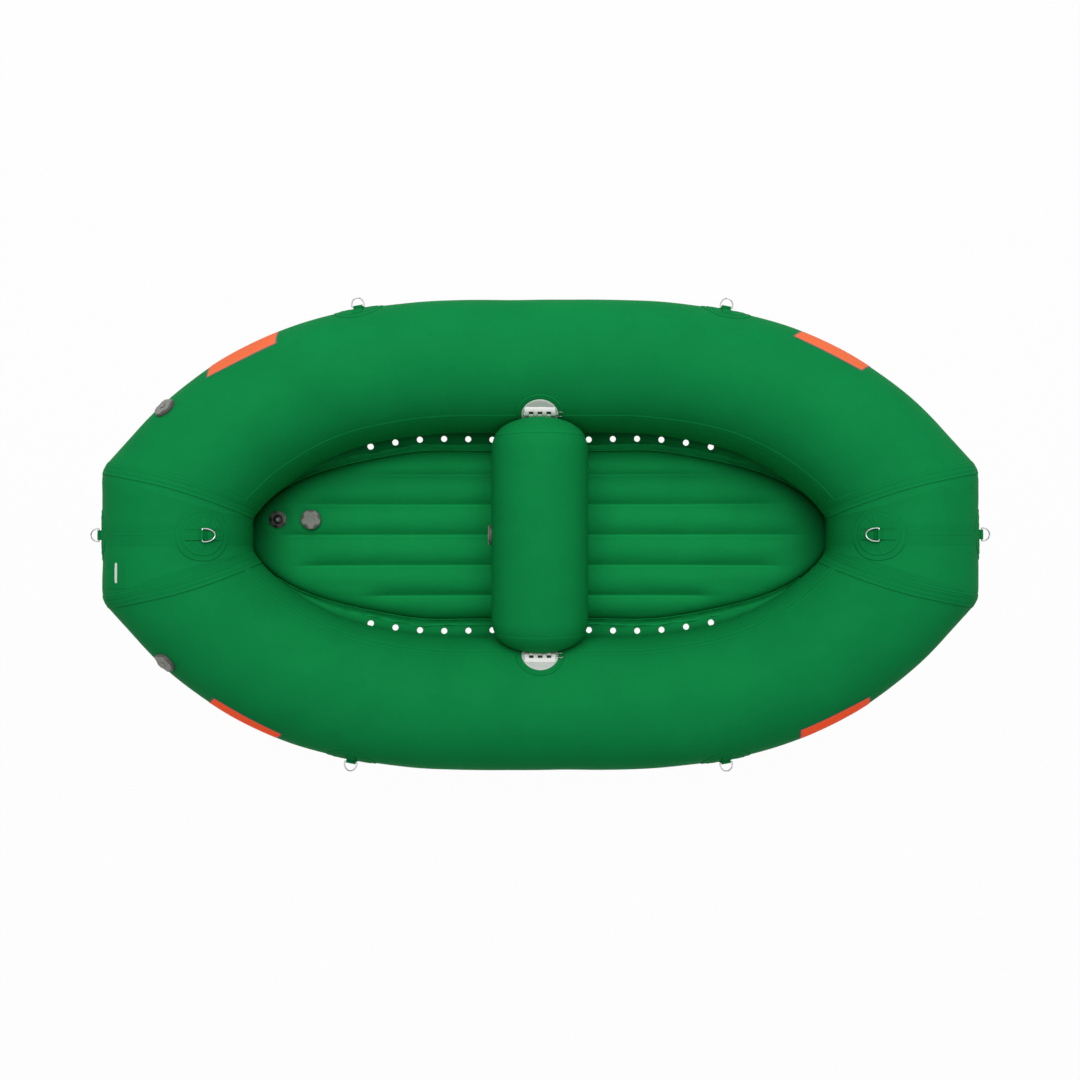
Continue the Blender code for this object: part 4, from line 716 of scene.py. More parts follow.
def thwart_points(y, a, lift=0.0):
    beyond = np.clip((np.abs(y) - DOME_START) / DOME_DEPTH, 0, 1)
    radius = THWART_R * (1 - beyond**DOME_POWER) ** (1 / DOME_POWER)
    radius = radius + lift + 0.0006 * np.sin(9 * y + 2 * a) * np.sin(2 * a)
    z = THWART_Z + radius * np.sin(a)
    limit = Y_SIDE - np.sqrt(np.clip((RADIUS + SLOT) ** 2 - (z - AXIS_HEIGHT) ** 2, 0.0001, None))
    reach = np.abs(y)
    reach = np.where(reach > 0.2, limit - SOFT * np.logaddexp(0, (limit - reach) / SOFT), reach)
    return np.stack((radius * np.cos(a), np.sign(y) * reach, z), -1)


a = AROUND
y = steps(-THWART_SEAM, (-DOME_START, 12), (DOME_START, 60), (THWART_SEAM, 12))
skin = grid("thwart_skin", thwart_points(y[:, None], a[None]), (y, THWART_R * ROUND), wrap=True)
keep(outward(skin), GREEN, replaces=["thwart_sleeve"])
for name, side in SIDES.items():
    t = np.linspace(0, 1, 40)
    tip = DOME_START + DOME_DEPTH
    start = THWART_SEAM - SEAM_LAP
    y = start + (tip - start - 1e-5) * (1 - (1 - t) ** 1.6)
    lift = 0.0016 * smooth(t / 0.03) * np.clip((tip - y) / 0.02, 0, 1)
    pleat = 0.0012 * np.sin(a * 24 + 2 * np.sin(a * 5))
    lift = lift[:, None] + pleat[None] * (ridge(y, 0.392, 0.016) * 0.8)[:, None]
    # Painted shade along the dome's lapped edge and a painted highlight at the sleeve's seam beside it.
    tone = ridges(y, (-0.45, start, 0.0022), (0.14, THWART_SEAM - 0.001, 0.003))
    cap = grid(f"{name}_thwart_dome", thwart_points(side * y[:, None], a[None], lift), (y, THWART_R * ROUND),
               wrap=True, tone=tone[:, None])
    keep(outward(cap), GREEN, replaces=[f"{name}_thwart_cap"])


# Frames on the skins
PROBE = 0.017
ALONG_X = Matrix(((0, 0, 1), (1, 0, 0), (0, 1, 0))).to_4x4()


def side_surface(side, s, angle):
    rate = 1 / MID_RADIUS if S0 < abs(s) <= S1 else (1 / END_RADIUS if S1 < abs(s) <= S2 else 0)
    scale = 1 + RADIUS * math.cos(angle) * rate
    return lambda u, v, lift: side_skin(side, s + np.asarray(u) / scale, angle + np.asarray(v) / RADIUS, lift)


def end_surface(end, angle):
    return lambda u, v, lift: end_skin(end, np.asarray(u), angle + np.asarray(v) / RADIUS, lift)


def framed(origin, *axes):
    """Matrix of three square axes at a place."""
    matrix = Matrix(axes).transposed().to_4x4()
    matrix.translation = origin
    return matrix


def surface_frame(surface, height, lean):
    """Local X along, local Y at a lean off the skin and local Z square to both, as the D-rings hang."""
    origin = Vector(surface(0.0, 0.0, height))
    along = (Vector(surface(PROBE, 0.0, height)) - Vector(surface(-PROBE, 0.0, height))).normalized()
    off = Vector(surface(0.0, 0.0, 2 * height)) - origin
    off = (off - off.dot(along) * along).normalized()
    about = off.cross(along)
    if (Vector(surface(0.0, PROBE, height)) - origin).dot(about) < 0:
        about = -about
    point = math.cos(lean) * off + math.sin(lean) * about
    return framed(origin, along, point, along.cross(point))


def place(points, matrix):
    m = np.array(matrix)
    return points @ m[:3, :3].T + m[:3, 3]


def around(count):
    """Even directions round a circle."""
    return np.linspace(0, 2 * math.pi, count + 1)[:-1]


def arc(turns, across, up, x=0.0, y=0.0):
    """Points of a circle or an ellipse round a place."""
    return [(x + across * math.cos(t), y + up * math.sin(t)) for t in turns]


def disc(name, surface, rings, lift, tone, count=96):
    """Disc over a skin: ring radii, and a lift and tone for each radius, direction and place."""
    turn = np.linspace(0, 2 * math.pi, count + 1)[None]
    r = rings[:, None]
    uv = r * np.cos(turn), r * np.sin(turn)
    at = r, turn[:, :-1], uv[0][:, :-1], uv[1][:, :-1]
    return outward(grid(name, surface(*at[2:], lift(*at)), uv, tone(*at), wrap=True))


def turned_piece(name, profile, matrix, turn, tone=0.0):
    """Piece turned round local Z from (radius, height) stops; a radius may change with the direction."""
    rows = [np.stack((r * np.cos(turn), r * np.sin(turn), np.full_like(turn, h)), -1) for r, h in profile]
    return outward(grid(name, place(np.array(rows), matrix), tone=tone, wrap=True))


def wire_ring(name, path, wire, sides, matrix, body, painted_side_shade):
    """Ring of wire bent in one plane, with painted shade and dark reflection down both sides of the wire and its
    two faces left bright.
    """
    path = np.array([(x, y, 0.0) for x, y in path])
    tangent = np.roll(path, -1, 0) - np.roll(path, 1, 0)
    tangent /= np.linalg.norm(tangent, axis=1)[:, None]
    across = np.cross(tangent, (0, 0, 1.0))
    over = np.cross(across, tangent)
    turn = around(sides)[None, :, None]
    rows = path[:, None] + wire * (np.cos(turn) * across[:, None] + np.sin(turn) * over[:, None])
    tone = -painted_side_shade * smooth((np.abs(np.cos(around(sides))) - 0.62) / 0.3)
    ring = grid(name, place(np.concatenate((rows, rows[:1])), matrix), tone=tone[None], wrap=True)
    keep(outward(ring), STEEL, body=body, replaces=[body])


# D-rings
END_RING = math.radians(22.5)
TOP_RING = math.radians(128.7)
TOP_OFFSET = 0.008
DROOP = math.radians(50)
LYING = math.radians(97)
PATCH_FACET = 0.0875 * math.sin(math.pi / 14)
PATCH_TOP = 0.0023 + RADIUS - math.sqrt(RADIUS**2 - PATCH_FACET**2)
BAR_HEIGHT = PATCH_TOP + 0.008
RING_HALF = 0.0215
RING_CORNER = 0.004
RING_DEPTH = 0.043
RING_WIRE = 0.0025
RING_RADII = steps(0.0004, (0.02, 8), (0.066, 30), (0.075, 16), (0.082, 6), (0.0885, 14))
SIDE_LENGTHS = np.linspace(0, S2, 401)
SIDE_STATIONS = side_skin(1, SIDE_LENGTHS, END_RING)[:, 0]
SIDE_RINGS = {("port", "stern"): 0.645, ("port", "bow"): 0.6625,
              ("starboard", "stern"): 0.671, ("starboard", "bow"): 0.66}
STRAP_HALF = 0.0165
STRAP_THICK = 0.0016
STRAP_RIBS = 1900
STRAP_TAIL = [(-0.058, 0.0036), (-0.052, 0.0046), (-0.03, 0.0048), (-0.014, 0.0052), (-0.006, 0.0066)]
LOOP_RADIUS = RING_WIRE + STRAP_THICK / 2 + 0.0009

spots = []
for end_name, end in ENDS.items():
    spots.append((f"{end_name}_outer", end_surface(end, END_RING), -DROOP, 0))
    spots.append((f"{end_name}_top", end_surface(end, TOP_RING), LYING, TOP_OFFSET))
    for side_name, side in SIDES.items():
        station = float(np.interp(SIDE_RINGS[side_name, end_name], SIDE_STATIONS, SIDE_LENGTHS))
        spots.append((f"{side_name}_{end_name}", side_surface(side, end * station, END_RING), -DROOP, 0))


def d_path():
    corner = RING_CORNER
    bar = RING_HALF - corner
    straight = 2.2 * corner
    path = [(x, 0) for x in np.linspace(-bar, bar, 14)]
    path += arc(np.linspace(-math.pi / 2, 0, 6)[1:], corner, corner, bar, corner)
    path += arc(np.linspace(0, math.pi, 49), RING_HALF, RING_DEPTH - straight, 0, straight)
    return path + arc(np.linspace(math.pi, 1.5 * math.pi, 6)[:-1], corner, corner, -bar, corner)


def patch_lift(seed):
    def lift(r, turn, u, v):
        base = 0.0002 + 0.0020 * edge_fade(r, 0.0845, 0.003) + 0.0009 * edge_fade(r, 0.0665, 0.0026)
        strap = smooth((0.0185 - np.abs(u)) / 0.003) * smooth((0.060 - np.abs(v)) / 0.004)
        fan = np.sin(turn * 15 + seed) * np.sin(turn * 7 + 2 * seed)
        pucker = 0.0010 * fan * ridge(r, 0.047, 0.014) * np.abs(np.cos(turn)) ** 0.5
        return base + 0.0007 * ridge(r, 0.0645, 0.002) + pucker * (1 - strap)
    return lift


def patch_tone(r, turn, u, v):
    """Painted shade: a dark line at the patch's edge and at its inner circle, stronger on one side, painted
    highlights beside each, and painted shadow beside the strap.
    """
    tone = ridges(r, (-0.36, 0.0868, 0.0015), (-0.32, 0.0685, 0.0014)) * (0.72 - 0.28 * np.cos(turn))
    tone = tone + ridges(r, (0.06, 0.083, 0.002), (0.08, 0.0645, 0.0018))
    beside = smooth((0.058 - np.abs(v)) / 0.004) * smooth((np.abs(v) - 0.008) / 0.006)
    return tone - 0.34 * ridge(np.abs(u), 0.018, 0.0016) * beside


for n, (name, surface, lean, offset) in enumerate(spots):
    def under(u, v, lift, surface=surface, offset=offset):
        return surface(u, np.asarray(v) + offset, lift)

    patch = disc(f"{name}_patch", under, RING_RADII, patch_lift(1.7 * n), patch_tone)
    keep(patch, TRIM, replaces=[f"{name}_ring_patch"])

    # The bar lies on the joint's axis
    matrix = surface_frame(surface, BAR_HEIGHT, lean)
    pivot = node_frame(f"{name}_d_ring_hinge")[0]
    gap = pivot - matrix.translation
    bar_v, bar_lift = (gap.dot(surface_frame(surface, BAR_HEIGHT, turn).col[1].xyz)
                       for turn in (math.pi / 2, 0))
    matrix.translation = pivot
    # Webbing: one flat tail on each side, folded up and round the bar
    turns = np.linspace(-0.62 * math.pi, -2.38 * math.pi, 25)
    loop = arc(turns, LOOP_RADIUS, LOOP_RADIUS, bar_v, BAR_HEIGHT + bar_lift)
    path = resampled(np.array(STRAP_TAIL + loop + [(-v, height) for v, height in reversed(STRAP_TAIL)]), 90)
    for _ in range(2):
        path[1:-1] = 0.25 * path[:-2] + 0.5 * path[1:-1] + 0.25 * path[2:]
    path[:, 0] += offset * smooth((np.abs(path[:, 0]) - 0.008) / 0.02)
    u = np.linspace(-STRAP_HALF, STRAP_HALF, 13)
    rib = np.cos(u * STRAP_RIBS)
    points = surface(u[None], path[:, :1], path[:, 1:] + 0.0002 * rib[None])
    # Painted shade along the strap's edges and in the folds at the feet of its loop; the ribs are the weave's
    # own pattern.
    tone = 0.04 * rib[None] - 0.12 * ridge(np.abs(u), STRAP_HALF, 0.0012)[None]
    tone = tone + ridges(path[:, :1], (-0.55, 0.0165, 0.0026), (-0.3, -0.008, 0.002))
    strap = thickened(grid(f"{name}_strap", points, (np.linspace(0, 0.15, 90), u), tone=tone), STRAP_THICK)
    keep(strap, WEBBING, angle=60)
    wire_ring(f"{name}_ring", d_path(), RING_WIRE, 16, matrix, f"{name}_d_ring", 0.92)

# Hinges
HINGE = math.radians(142)
STANDOFF = 0.010
SEGMENT = 0.0155
PLATE_DROP = 0.009
LEAF_END = 0.118
BARREL = 0.006
HULL_HALF = 3.5 * SEGMENT
LEAF_HALF = 2.5 * SEGMENT
HULL_BAR = [(0.0160, -0.0085), (0.0160, 0.0046), (0.0262, -0.0022), (0.0275, -0.0045), (0.0275, -0.0085)]
LEAF_BAR = [(-0.0085, -0.0045), (-0.0085, 0.0048), (-0.0155, 0.0040), (-0.0175, -0.0045)]
PIN_REACH = HULL_HALF + 0.003
PIN_PROFILE = [(0.0004, -PIN_REACH), (0.0020, -PIN_REACH), (0.0028, -PIN_REACH + 0.0008),
               (0.0028, PIN_REACH - 0.003), (0.0016, PIN_REACH - 0.001), (0.0004, PIN_REACH - 0.001)]
EYE = PIN_REACH + 0.004
EYE_START = PIN_REACH - 0.004
EYE_HIGH = 0.0045
EYE_DEEP = 0.0014
EYE_HOLE = 0.0019
PULL_RADIUS = 0.011


def joined(bm, first, second):
    """Faces between two loops of points."""
    for j in range(len(first)):
        k = (j + 1) % len(first)
        bm.faces.new((first[j], second[j], second[k], first[k]))


def extruded(bm, outline, low, high):
    """Prism from an outline in (y, z), along local X."""
    rings = [[bm.verts.new((x, y, z)) for y, z in outline] for x in (low, high)]
    bm.faces.new(rings[0])
    bm.faces.new(rings[1][::-1])
    joined(bm, *rings)


def bevelled(name, bm, matrix, width):
    bmesh.ops.recalc_face_normals(bm, faces=bm.faces)
    mesh = bpy.data.meshes.new(name)
    bm.to_mesh(mesh)
    bm.free()
    mesh.transform(matrix)
    obj = new_object(name, mesh)
    edge = obj.modifiers.new("bevel", "BEVEL")
    edge.width = width
    edge.segments = 2
    edge.limit_method = "ANGLE"
    edge.angle_limit = math.radians(35)
    return apply_modifiers(obj)


def knuckle(way, foot):
    """Barrel round the pin with a foot towards the bar: +1 up the skin, -1 down it."""
    outline = [(way * foot, -0.0058), (way * foot, 0.0046), (way * 0.004, 0.0058)]
    outline += arc(np.linspace(math.pi / 2, 3 * math.pi / 2, 13)[1:-1], way * BARREL, BARREL)
    return outline + [(0.0, -BARREL)]


def hinge_half(name, matrix, bar, half, places, outline, bevel):
    """Bar of one half of the hinge, with its knuckles at their places in the row."""
    bm = bmesh.new()
    extruded(bm, bar, -half + 0.0004, half - 0.0004)
    for k in places:
        low = (k - 3.5) * SEGMENT + 0.0005
        extruded(bm, outline, low, low + SEGMENT - 0.001)
    return bevelled(name, bm, matrix, bevel)


def pin_eye(name, matrix):
    """Flat tab with a hole at the pin's end."""
    bm = bmesh.new()
    outer = [(EYE_START, -EYE_DEEP * 1.6), (EYE - 0.001, -EYE_HIGH)]
    outer += arc(np.linspace(-math.pi / 2, math.pi / 2, 13), 0.0042, EYE_HIGH, EYE)
    outer += [(EYE - 0.001, EYE_HIGH), (EYE_START, EYE_DEEP * 1.6)]
    loops = []
    for y in (-EYE_DEEP, EYE_DEEP):
        edges = []
        for outline in (outer, arc(around(16), EYE_HOLE, EYE_HOLE, EYE)):
            verts = [bm.verts.new((x, y, z)) for x, z in outline]
            edges += [bm.edges.new(pair) for pair in zip(verts, verts[1:] + verts[:1])]
            loops.append(verts)
        bmesh.ops.triangle_fill(bm, use_beauty=True, edges=edges)
    joined(bm, loops[0], loops[2])
    joined(bm, loops[1], loops[3])
    return bevelled(name, bm, matrix, 0.0004)


def doubler_lift(r, turn, u, v):
    ribs = ridges(r, (0.0014, 0.0812, 0.002), (0.0011, 0.0735, 0.0022))
    return 0.0003 + 0.0022 * edge_fade(r, 0.083, 0.0025) + ribs


# Painted highlights on the doubler's ridges and rim, and painted shade beside them.
def doubler_tone(r, turn, u, v):
    return ridges(r, (0.16, 0.0815, 0.0018), (-0.30, 0.0858, 0.0015), (0.12, 0.0735, 0.0018),
                  (-0.16, 0.0768, 0.0016), (-0.2, 0.067, 0.002))


def plate_height(r, turn, u, v):
    return 0.0026 + 0.0028 * np.sqrt(1 - np.clip((r - 0.0625) / 0.003, 0, 1) ** 2)


# Painted shade in the recesses under the hull bar's teeth, a dark line across the plate, and a painted highlight
# on its rounded rim.
def plate_tone(r, turn, u, v):
    teeth = np.abs((np.abs(u) + SEGMENT) % (2 * SEGMENT) - SEGMENT) < 0.45 * SEGMENT
    recess = teeth * (np.abs(u) < 2.6 * SEGMENT) * (v > -0.0215) * (v < -0.0135)
    return 0.08 * ridge(r, 0.0622, 0.001) - 0.40 * ridge(v, -0.0365, 0.0014) - 1.25 * recess


for name, side in SIDES.items():
    off = Vector((0, side * math.cos(HINGE), math.sin(HINGE)))
    up = Vector((0, side * math.sin(HINGE), -math.cos(HINGE)))
    matrix = framed(Vector(side_skin(side, 0.0, HINGE, STANDOFF)), up.cross(off), up, off)
    surface = side_surface(side, 0.0, HINGE + PLATE_DROP / RADIUS)

    # Doubler with two ridges, and on it the hull plate, a thin disc with a rounded rim
    rings = steps(0.0004, (0.06, 6), (0.068, 6), (0.0865, 44))
    keep(disc(f"{name}_hinge_doubler", surface, rings, doubler_lift, doubler_tone), TRIM)
    rings = steps(0.0004, (0.05, 40), (0.060, 6), (0.0655, 12))
    made = disc(f"{name}_hinge_disc", surface, rings, plate_height, plate_tone, count=240)
    keep(made, PLATE_GREY)

    # Fixed half of the hinge
    foot = knuckle(1, 0.0165)
    made = hinge_half(f"{name}_hull_hinge", matrix, HULL_BAR, HULL_HALF, (0, 2, 4, 6), foot, 0.0008)
    keep(made, HINGE_PLASTIC, replaces=[f"{name}_hull_hinge_plate"], angle=35)

    # Leaf on the thwart: curved plate down the tube's skin, bar and three knuckles
    down = steps(0.0085, (LEAF_END, 26), (0.13, 6))
    across = steps(-LEAF_HALF, (LEAF_HALF, 20))
    corner = np.sqrt(np.clip(1 - (np.clip(down - LEAF_END, 0, 1) / 0.012) ** 2, 0, 1))
    u = across[None] * (1 - 0.3 * (1 - corner))[:, None]
    points = side_skin(side, u, HINGE + down[:, None] / RADIUS, 0.0068)
    leaf = thickened(grid(f"{name}_leaf_plate", points, (down, across), flip=side < 0), 0.003)
    keep(leaf, PLATE_GREY, angle=50)
    foot = [(0.85 * y, z if z > -0.005 else -0.0045) for y, z in knuckle(-1, 0.0115)]
    made = hinge_half(f"{name}_leaf_hinge", matrix, LEAF_BAR, LEAF_HALF, (1, 3, 5), foot, 0.0007)
    # Painted shade on the tops of the leaf's knuckles, in the notches between the hull's knuckles.
    local = [matrix.inverted() @ vertex.co for vertex in made.data.vertices]
    shade(made.data, [-1.0 * (p.y > -0.0075 and p.y * math.sin(HINGE) + p.z * math.cos(HINGE) > -0.0012)
                      for p in local])
    keep(made, HINGE_PLASTIC, replaces=[f"{name}_thwart_hinge_leaf"], angle=35)

    # Pin with a flat eye, and the ring through it
    matrix = matrix @ Matrix.Rotation(0 if side > 0 else math.pi, 4, "Z")
    pin = f"{name}_hinge_pin"
    rod = turned_piece(f"{name}_pin", PIN_PROFILE, matrix @ ALONG_X, around(24))
    keep(rod, STEEL, body=pin, replaces=[pin], angle=40)
    keep(pin_eye(f"{name}_pin_eye", matrix), STEEL, body=pin, angle=35)
    loop = arc(around(48), -PULL_RADIUS, PULL_RADIUS, EYE + PULL_RADIUS)
    wire_ring(f"{name}_pin_ring", loop, 0.00105, 12, matrix, f"{name}_pull_ring", 0.552)


# Valves
VALVE_BODY = [(0.012, -0.012), (0.0215, -0.012), (0.0215, 0.0), (0.0352, 0.0), (0.0360, 0.0006),
              (0.0360, 0.0022), (0.0352, 0.0030), (0.0190, 0.0030), (0.0190, 0.0096), (0.0184, 0.0100),
              (0.012, 0.0100), (0.012, -0.012)]
CAP_RIM = ((1.0, 0.0002), (1.0, 0.0015), (1.0, 0.0066), (0.985, 0.0078), (0.955, 0.0084), (0.55, 0.0086),
           (0.1, 0.0086))
CAP_STAR = ((0.0006, 0.0080), (0.0, 0.0088), (0.0, 0.0108), (0.0006, 0.0116), (0.0016, 0.0120),
            (0.010, 0.01215), (0.018, 0.0120), (0.0195, 0.0115), (0.024, 0.01145))
CAP_BOSS = ((0.0092, 0.0108), (0.0092, 0.0121), (0.0084, 0.0124), (0.0078, 0.0121), (0.0070, 0.0119),
            (0.0068, 0.0140), (0.0062, 0.0146), (0.0003, 0.0146))
# Painted shade in the groove round the cap's square boss and a painted highlight on the boss's top.
BOSS_TONE = (0, -0.2, -0.3, -0.7, -0.7, 0.3, 0.3, 0.3)
CAP_TURN = math.radians(18)
TINY = 0.0003
TURN = around(160)


def upright(normal, origin):
    across = Vector((0, 1, 0)).cross(normal)
    if across.length < abs(normal.y):
        across = Vector((0, 0, 1)).cross(normal)
    across.normalize()
    return framed(origin, across, normal.cross(across), normal)


def star(radius, depth, lobes=5, wide=0.16):
    """Rim radius of a lobed cap: round lobes with a scooped notch at each multiple of the lobe angle."""
    phase = (TURN * lobes / (2 * math.pi)) % 1
    gap = np.minimum(phase, 1 - phase)
    return radius - depth * np.sqrt(np.clip(1 - (gap / wide) ** 2, 0, 1))


def star_cap(name, matrix, scoop, boss):
    """Cap: dark scalloped rim, and on it a paler star whose arms reach the rim between the notches."""
    matrix = matrix @ Matrix.Rotation(CAP_TURN, 4, "Z")
    body = f"{name}_valve_cap"
    rim = star(0.0375, 0.0012)
    profile = [(0.0204, 0.0005)] + [(rim * share, height) for share, height in CAP_RIM]
    base = turned_piece(f"{name}_cap_rim", profile, matrix, TURN)
    keep(base, VALVE_DARK, body=body, replaces=[body], angle=40)
    arm = star(0.0358, scoop, wide=0.27)
    profile = [(np.maximum(arm - inset, TINY), height) for inset, height in CAP_STAR] + [(TINY, 0.01145)]
    top = turned_piece(f"{name}_cap_star", profile, matrix, TURN)
    keep(top, VALVE_LIGHT, body=body, angle=40)
    if boss:
        square = 1 / np.maximum(np.abs(np.cos(TURN)), np.abs(np.sin(TURN))) ** 0.85
        profile = [(radius * square, height) for radius, height in CAP_BOSS]
        drive = turned_piece(f"{name}_cap_boss", profile, matrix, TURN, np.array(BOSS_TONE)[:, None])
        keep(drive, VALVE_LIGHT, body=body, angle=40)


for name in ("port_hull", "starboard_hull", "floor", "thwart"):
    origin, axis = node_frame(f"{name}_valve_cap_twist")
    matrix = upright(axis, origin)
    hull = "hull" in name
    star_cap(name, matrix, 0.0045 if hull else 0.0085, hull)
    body = turned_piece(f"{name}_valve", VALVE_BODY, matrix @ Matrix.Translation((0, 0, -0.0033)), around(64))
    keep(body, VALVE_DARK, replaces=[f"{name}_valve_body"], angle=40)

# Relief valve: stops of (share of the radius, height, weight of the painted light and shade on the spokes,
# painted shade in the bore)
RELIEF_RADIUS = 0.0325
RELIEF_STOPS = ((0.42, -0.012, 0, 0), (0.66, -0.012, 0, 0), (0.66, 0.0, 0, 0), (0.985, 0.0, 0, 0),
                (1.0, 0.0008, 0, 0), (1.0, 0.0024, 0.5, 0), (0.97, 0.0032, 0.9, 0), (0.86, 0.0038, 1, 0),
                (0.78, 0.0054, 1, 0), (0.70, 0.0066, 0.9, 0), (0.62, 0.0070, 0.7, 0), (0.555, 0.0066, 0, 0.6),
                (0.52, 0.0050, 0, 0.9), (0.47, 0.0030, 0, 0.9), (0.42, -0.012, 0, 0.9))
CUP = [(0.0137, -0.0085), (0.0137, -0.0105), (TINY, -0.0105), (TINY, -0.0085), (0.0137, -0.0085)]
POPPET = [(TINY, -0.003), (0.0122, -0.003), (0.0124, -0.0026), (0.0124, -0.0013), (0.0120, -0.001),
          (0.0066, -0.001), (0.0065, 0.0040), (0.0058, 0.0049), (0.0040, 0.0050), (TINY, 0.0046), (TINY, -0.003)]
# Painted shade on the poppet's flange, deep in the bore, and a painted highlight on its stem's top.
POPPET_TONE = np.array([0, -0.9, -0.9, -0.9, -0.9, -0.9, 0.1, 0.2, 0.2, 0.2, 0])
origin, axis = node_frame("relief_valve_poppet_slide")
matrix = upright(axis, origin)
rim = star(RELIEF_RADIUS, 0.0012, 6)
share, height, weight, dark = np.array(RELIEF_STOPS).T
lobed = smooth((share - 0.5) / 0.35)[:, None]
radius = share[:, None] * (rim * lobed + RELIEF_RADIUS * (1 - lobed))
# Painted light on one side of the ring and painted shade between its lobes.
lit_side = 0.9 * smooth(0.5 + 0.8 * np.cos(TURN - math.pi / 2 + 0.35))
spokes = -0.35 + lit_side - 0.7 * smooth((np.abs(np.sin(2.5 * TURN)) - 0.72) / 0.15)
tone = np.outer(weight, spokes) - dark[:, None]
made = turned_piece("relief_valve_ring", zip(radius, height), matrix, TURN, tone)
keep(made, VALVE_DARK, replaces=["relief_valve_body"], angle=40)
# A dark disc under the poppet, with painted shade, stands for the shade deep in the valve's bore.
cup = turned_piece("relief_cup", CUP, matrix, around(64), -0.9)
keep(cup, VALVE_DARK, angle=40)
body = "relief_valve_poppet"
made = turned_piece("relief_poppet", POPPET, matrix, around(64), POPPET_TONE[:, None])
keep(made, VALVE_LIGHT, body=body, replaces=[body], angle=40)


# Bare labels and the plate patch
SHEET_FOOT = 0.0004
LABEL_STRAIGHTENING = math.radians(2.4)
LABELS = {
    ("port", "stern"): ((-1.074, 46.6), (-0.849, 50.3), (-0.836, 24.0), (-1.055, 24.0)),
    ("port", "bow"): ((0.815, 45.6), (1.034, 48.6), (1.062, 24.0), (0.844, 24.0)),
    ("starboard", "stern"): ((-1.050, 44.9), (-0.830, 41.0), (-0.846, 24.0), (-1.064, 24.0)),
    ("starboard", "bow"): ((0.835, 46.4), (1.058, 43.5), (1.056, 24.0), (0.834, 24.0)),
}
# Painted light and shade: port labels take the lit orange, starboard labels its shaded copy, and each side its
# own painted tone.
LABEL_FACES = {"port": (ORANGE, 0.1), "starboard": (SHADED_ORANGE, 0.9)}


def panel(name, point, corners, lift, material, shrink=0.0, count=(60, 18), tone=0.0):
    """Thin sheet over a skin between four corners, each (along, angle)."""
    (a0, b0), (a1, b1), (a2, b2), (a3, b3) = corners
    length = abs(a1 - a0)
    depth = abs(b3 - b0) * RADIUS
    du, dv = shrink / length, shrink / depth
    u = du + (1 - 2 * du) * np.linspace(0, 1, count[0])[:, None]
    v = dv + (1 - 2 * dv) * np.linspace(0, 1, count[1])[None]
    s = (a0 * (1 - u) + a1 * u) * (1 - v) + (a3 * (1 - u) + a2 * u) * v
    a = (b0 * (1 - u) + b1 * u) * (1 - v) + (b3 * (1 - u) + b2 * u) * v
    edge = np.minimum(np.minimum(u - du, 1 - du - u) * length, np.minimum(v - dv, 1 - dv - v) * depth)
    height = lift * smooth((edge + SHEET_FOOT) / 0.0012) + SHEET_FOOT
    sheet = grid(name, point(s, a, height), (s, a * RADIUS), tone)
    keep(turned_up(sheet), material)


def turned_up(sheet):
    """Faces of an open sheet on the hull turned away from the raft's middle height."""
    middle = sheet.data.polygons[len(sheet.data.polygons) // 2]
    centre = middle.center
    x = math.copysign(min(abs(centre.x), X_END), centre.x)
    out = centre - Vector((x, 0, AXIS_HEIGHT + float(rise(centre.x))))
    if abs(centre.y) > END_HALF:
        out.x = 0
    if middle.normal.dot(out) < 0:
        sheet.data.flip_normals()
    return sheet


for (side_name, end_name), corners in LABELS.items():
    corners = [(s, math.radians(a)) for s, a in corners]

    def on_tube(s, a, lift, side=SIDES[side_name], corners=corners):
        along = (s - corners[0][0]) / (corners[1][0] - corners[0][0])
        straighten = 4 * along * (1 - along) * (a - corners[2][1]) / (corners[0][1] - corners[2][1])
        return side_skin(side, s, a + LABEL_STRAIGHTENING * straighten, lift)

    name = f"{side_name}_{end_name}_label"
    face, tone = LABEL_FACES[side_name]
    panel(f"{name}_edge", on_tube, corners, 0.0010, LABEL_EDGE)
    panel(name, on_tube, corners, 0.0016, face, shrink=0.0028, tone=tone)

PATCH_SPAN = (-0.176, -0.071)
PATCH_ANGLES = (70.5, 50.0)
PLATE_Y = -0.1225
PLATE_ANGLE = math.radians(62.0)
PLATE_HALF = 0.033
PLATE_ROUND = 0.0052
low, high = PATCH_SPAN
top, foot = np.radians(PATCH_ANGLES)
corners = ((low, top), (high, top), (high, foot), (low, foot))
panel("plate_patch", lambda y, a, lift: end_skin(-1, y, a, lift), corners, 0.0014, TRIM, count=(60, 50))

# Bare plate: strip with rounded ends
t = around(96)
straight = PLATE_HALF - PLATE_ROUND
run = np.clip(PLATE_HALF * 1.6 * np.cos(t), -straight, straight) + PLATE_ROUND * np.cos(t)
rows = [end_skin(-1, PLATE_Y + run * share, PLATE_ANGLE + PLATE_ROUND * np.sin(t) * share / RADIUS, height)
        for share, height in ((1.0, 0.0018), (1.0, 0.0030), (0.93, 0.0036), (0.6, 0.0037), (0.02, 0.0037))]
keep(outward(grid("bare_plate", rows, wrap=True)), WHITE_PLATE, angle=50)

# Inner pieces
for name, node in frame["nodes"].items():
    if "baffle" in name:
        for slot in node.material_slots:
            slot.material = INNER

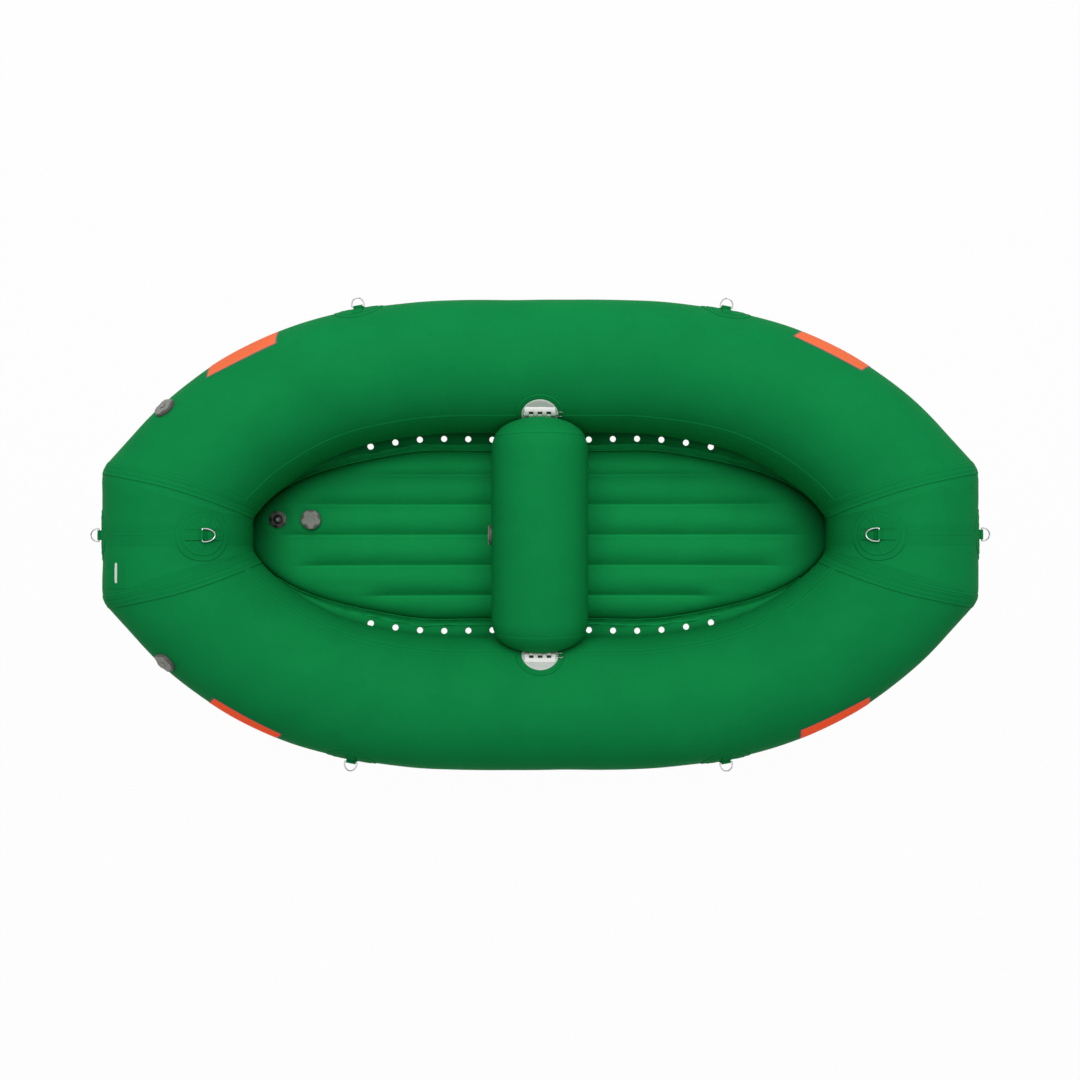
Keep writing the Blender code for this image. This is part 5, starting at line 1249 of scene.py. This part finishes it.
# Studio
STUDIO_HALF = 9.0
FLOOR_LEVEL = -0.0012
WHITE = (1, 1, 1, 1)
SEEN_SHARE = 0.972
SKY_LEVEL = 0.33
floor_mesh = bpy.data.meshes.new("studio_floor")
corners = [(x * STUDIO_HALF, y * STUDIO_HALF, FLOOR_LEVEL) for x, y in ((-1, -1), (1, -1), (1, 1), (-1, 1))]
floor_mesh.from_pydata(corners, [], [(0, 1, 2, 3)])
new_object("studio_floor", floor_mesh)

n = Nodes(bpy.data.materials.new("studio_floor"))
n.shader.inputs["Base Color"].default_value = (0.72, 0.72, 0.72, 1)
n.shader.inputs["Roughness"].default_value = 0.9
n.shader.inputs["Specular IOR Level"].default_value = 0.1
glow = n.add("Emission", Color=WHITE, Strength=1.0)
blend = n.add("MixShader")
n.link(n.maths("MULTIPLY", n.seen(), SEEN_SHARE), blend.inputs[0])
n.link(n.shader.outputs[0], blend.inputs[1])
n.link(glow.outputs[0], blend.inputs[2])
n.link(blend.outputs[0], n.tree.nodes["Material Output"].inputs["Surface"])
floor_mesh.materials.append(n.owner)

world = bpy.data.worlds.new("studio")
bpy.context.scene.world = world
n = Nodes(world, "Background")
n.shader.inputs["Color"].default_value = WHITE
n.link(n.ranged(n.seen(), 0, 1, SKY_LEVEL, 1), n.shader.inputs["Strength"])


def area_light(name, location, aim, size_xy, power):
    data = bpy.data.lights.new(name, "AREA")
    data.shape = "RECTANGLE"
    data.size, data.size_y = size_xy
    data.energy = power
    lamp = new_object(name, data)
    lamp.location = location
    lamp.rotation_euler = (Vector(aim) - Vector(location)).to_track_quat("-Z", "Y").to_euler()


area_light("key", (0.0, 3.6, 4.6), (0, 0, 0.3), (5.0, 2.2), 105)
area_light("top", (0.0, 1.9, 5.8), (0, 0, 0.3), (4.5, 2.4), 95)

# Camera: focal length and centre in pixels of the square picture
PIXELS = 1080
FOCAL = 811.57
CENTRE = (531.46, 534.85)
SENSOR = 36
lens = bpy.data.cameras.new("camera")
camera = new_object("camera", lens)
camera.location = (-0.03, 0, 3.24)
camera.rotation_euler = (0, 0, -0.00086)
lens.sensor_width = SENSOR
lens.lens = FOCAL / PIXELS * SENSOR
lens.shift_x = (PIXELS / 2 - CENTRE[0]) / PIXELS
lens.shift_y = (CENTRE[1] - PIXELS / 2) / PIXELS
lens.clip_end = 100
bpy.context.scene.camera = camera
bpy.context.scene.view_settings.view_transform = "Standard"
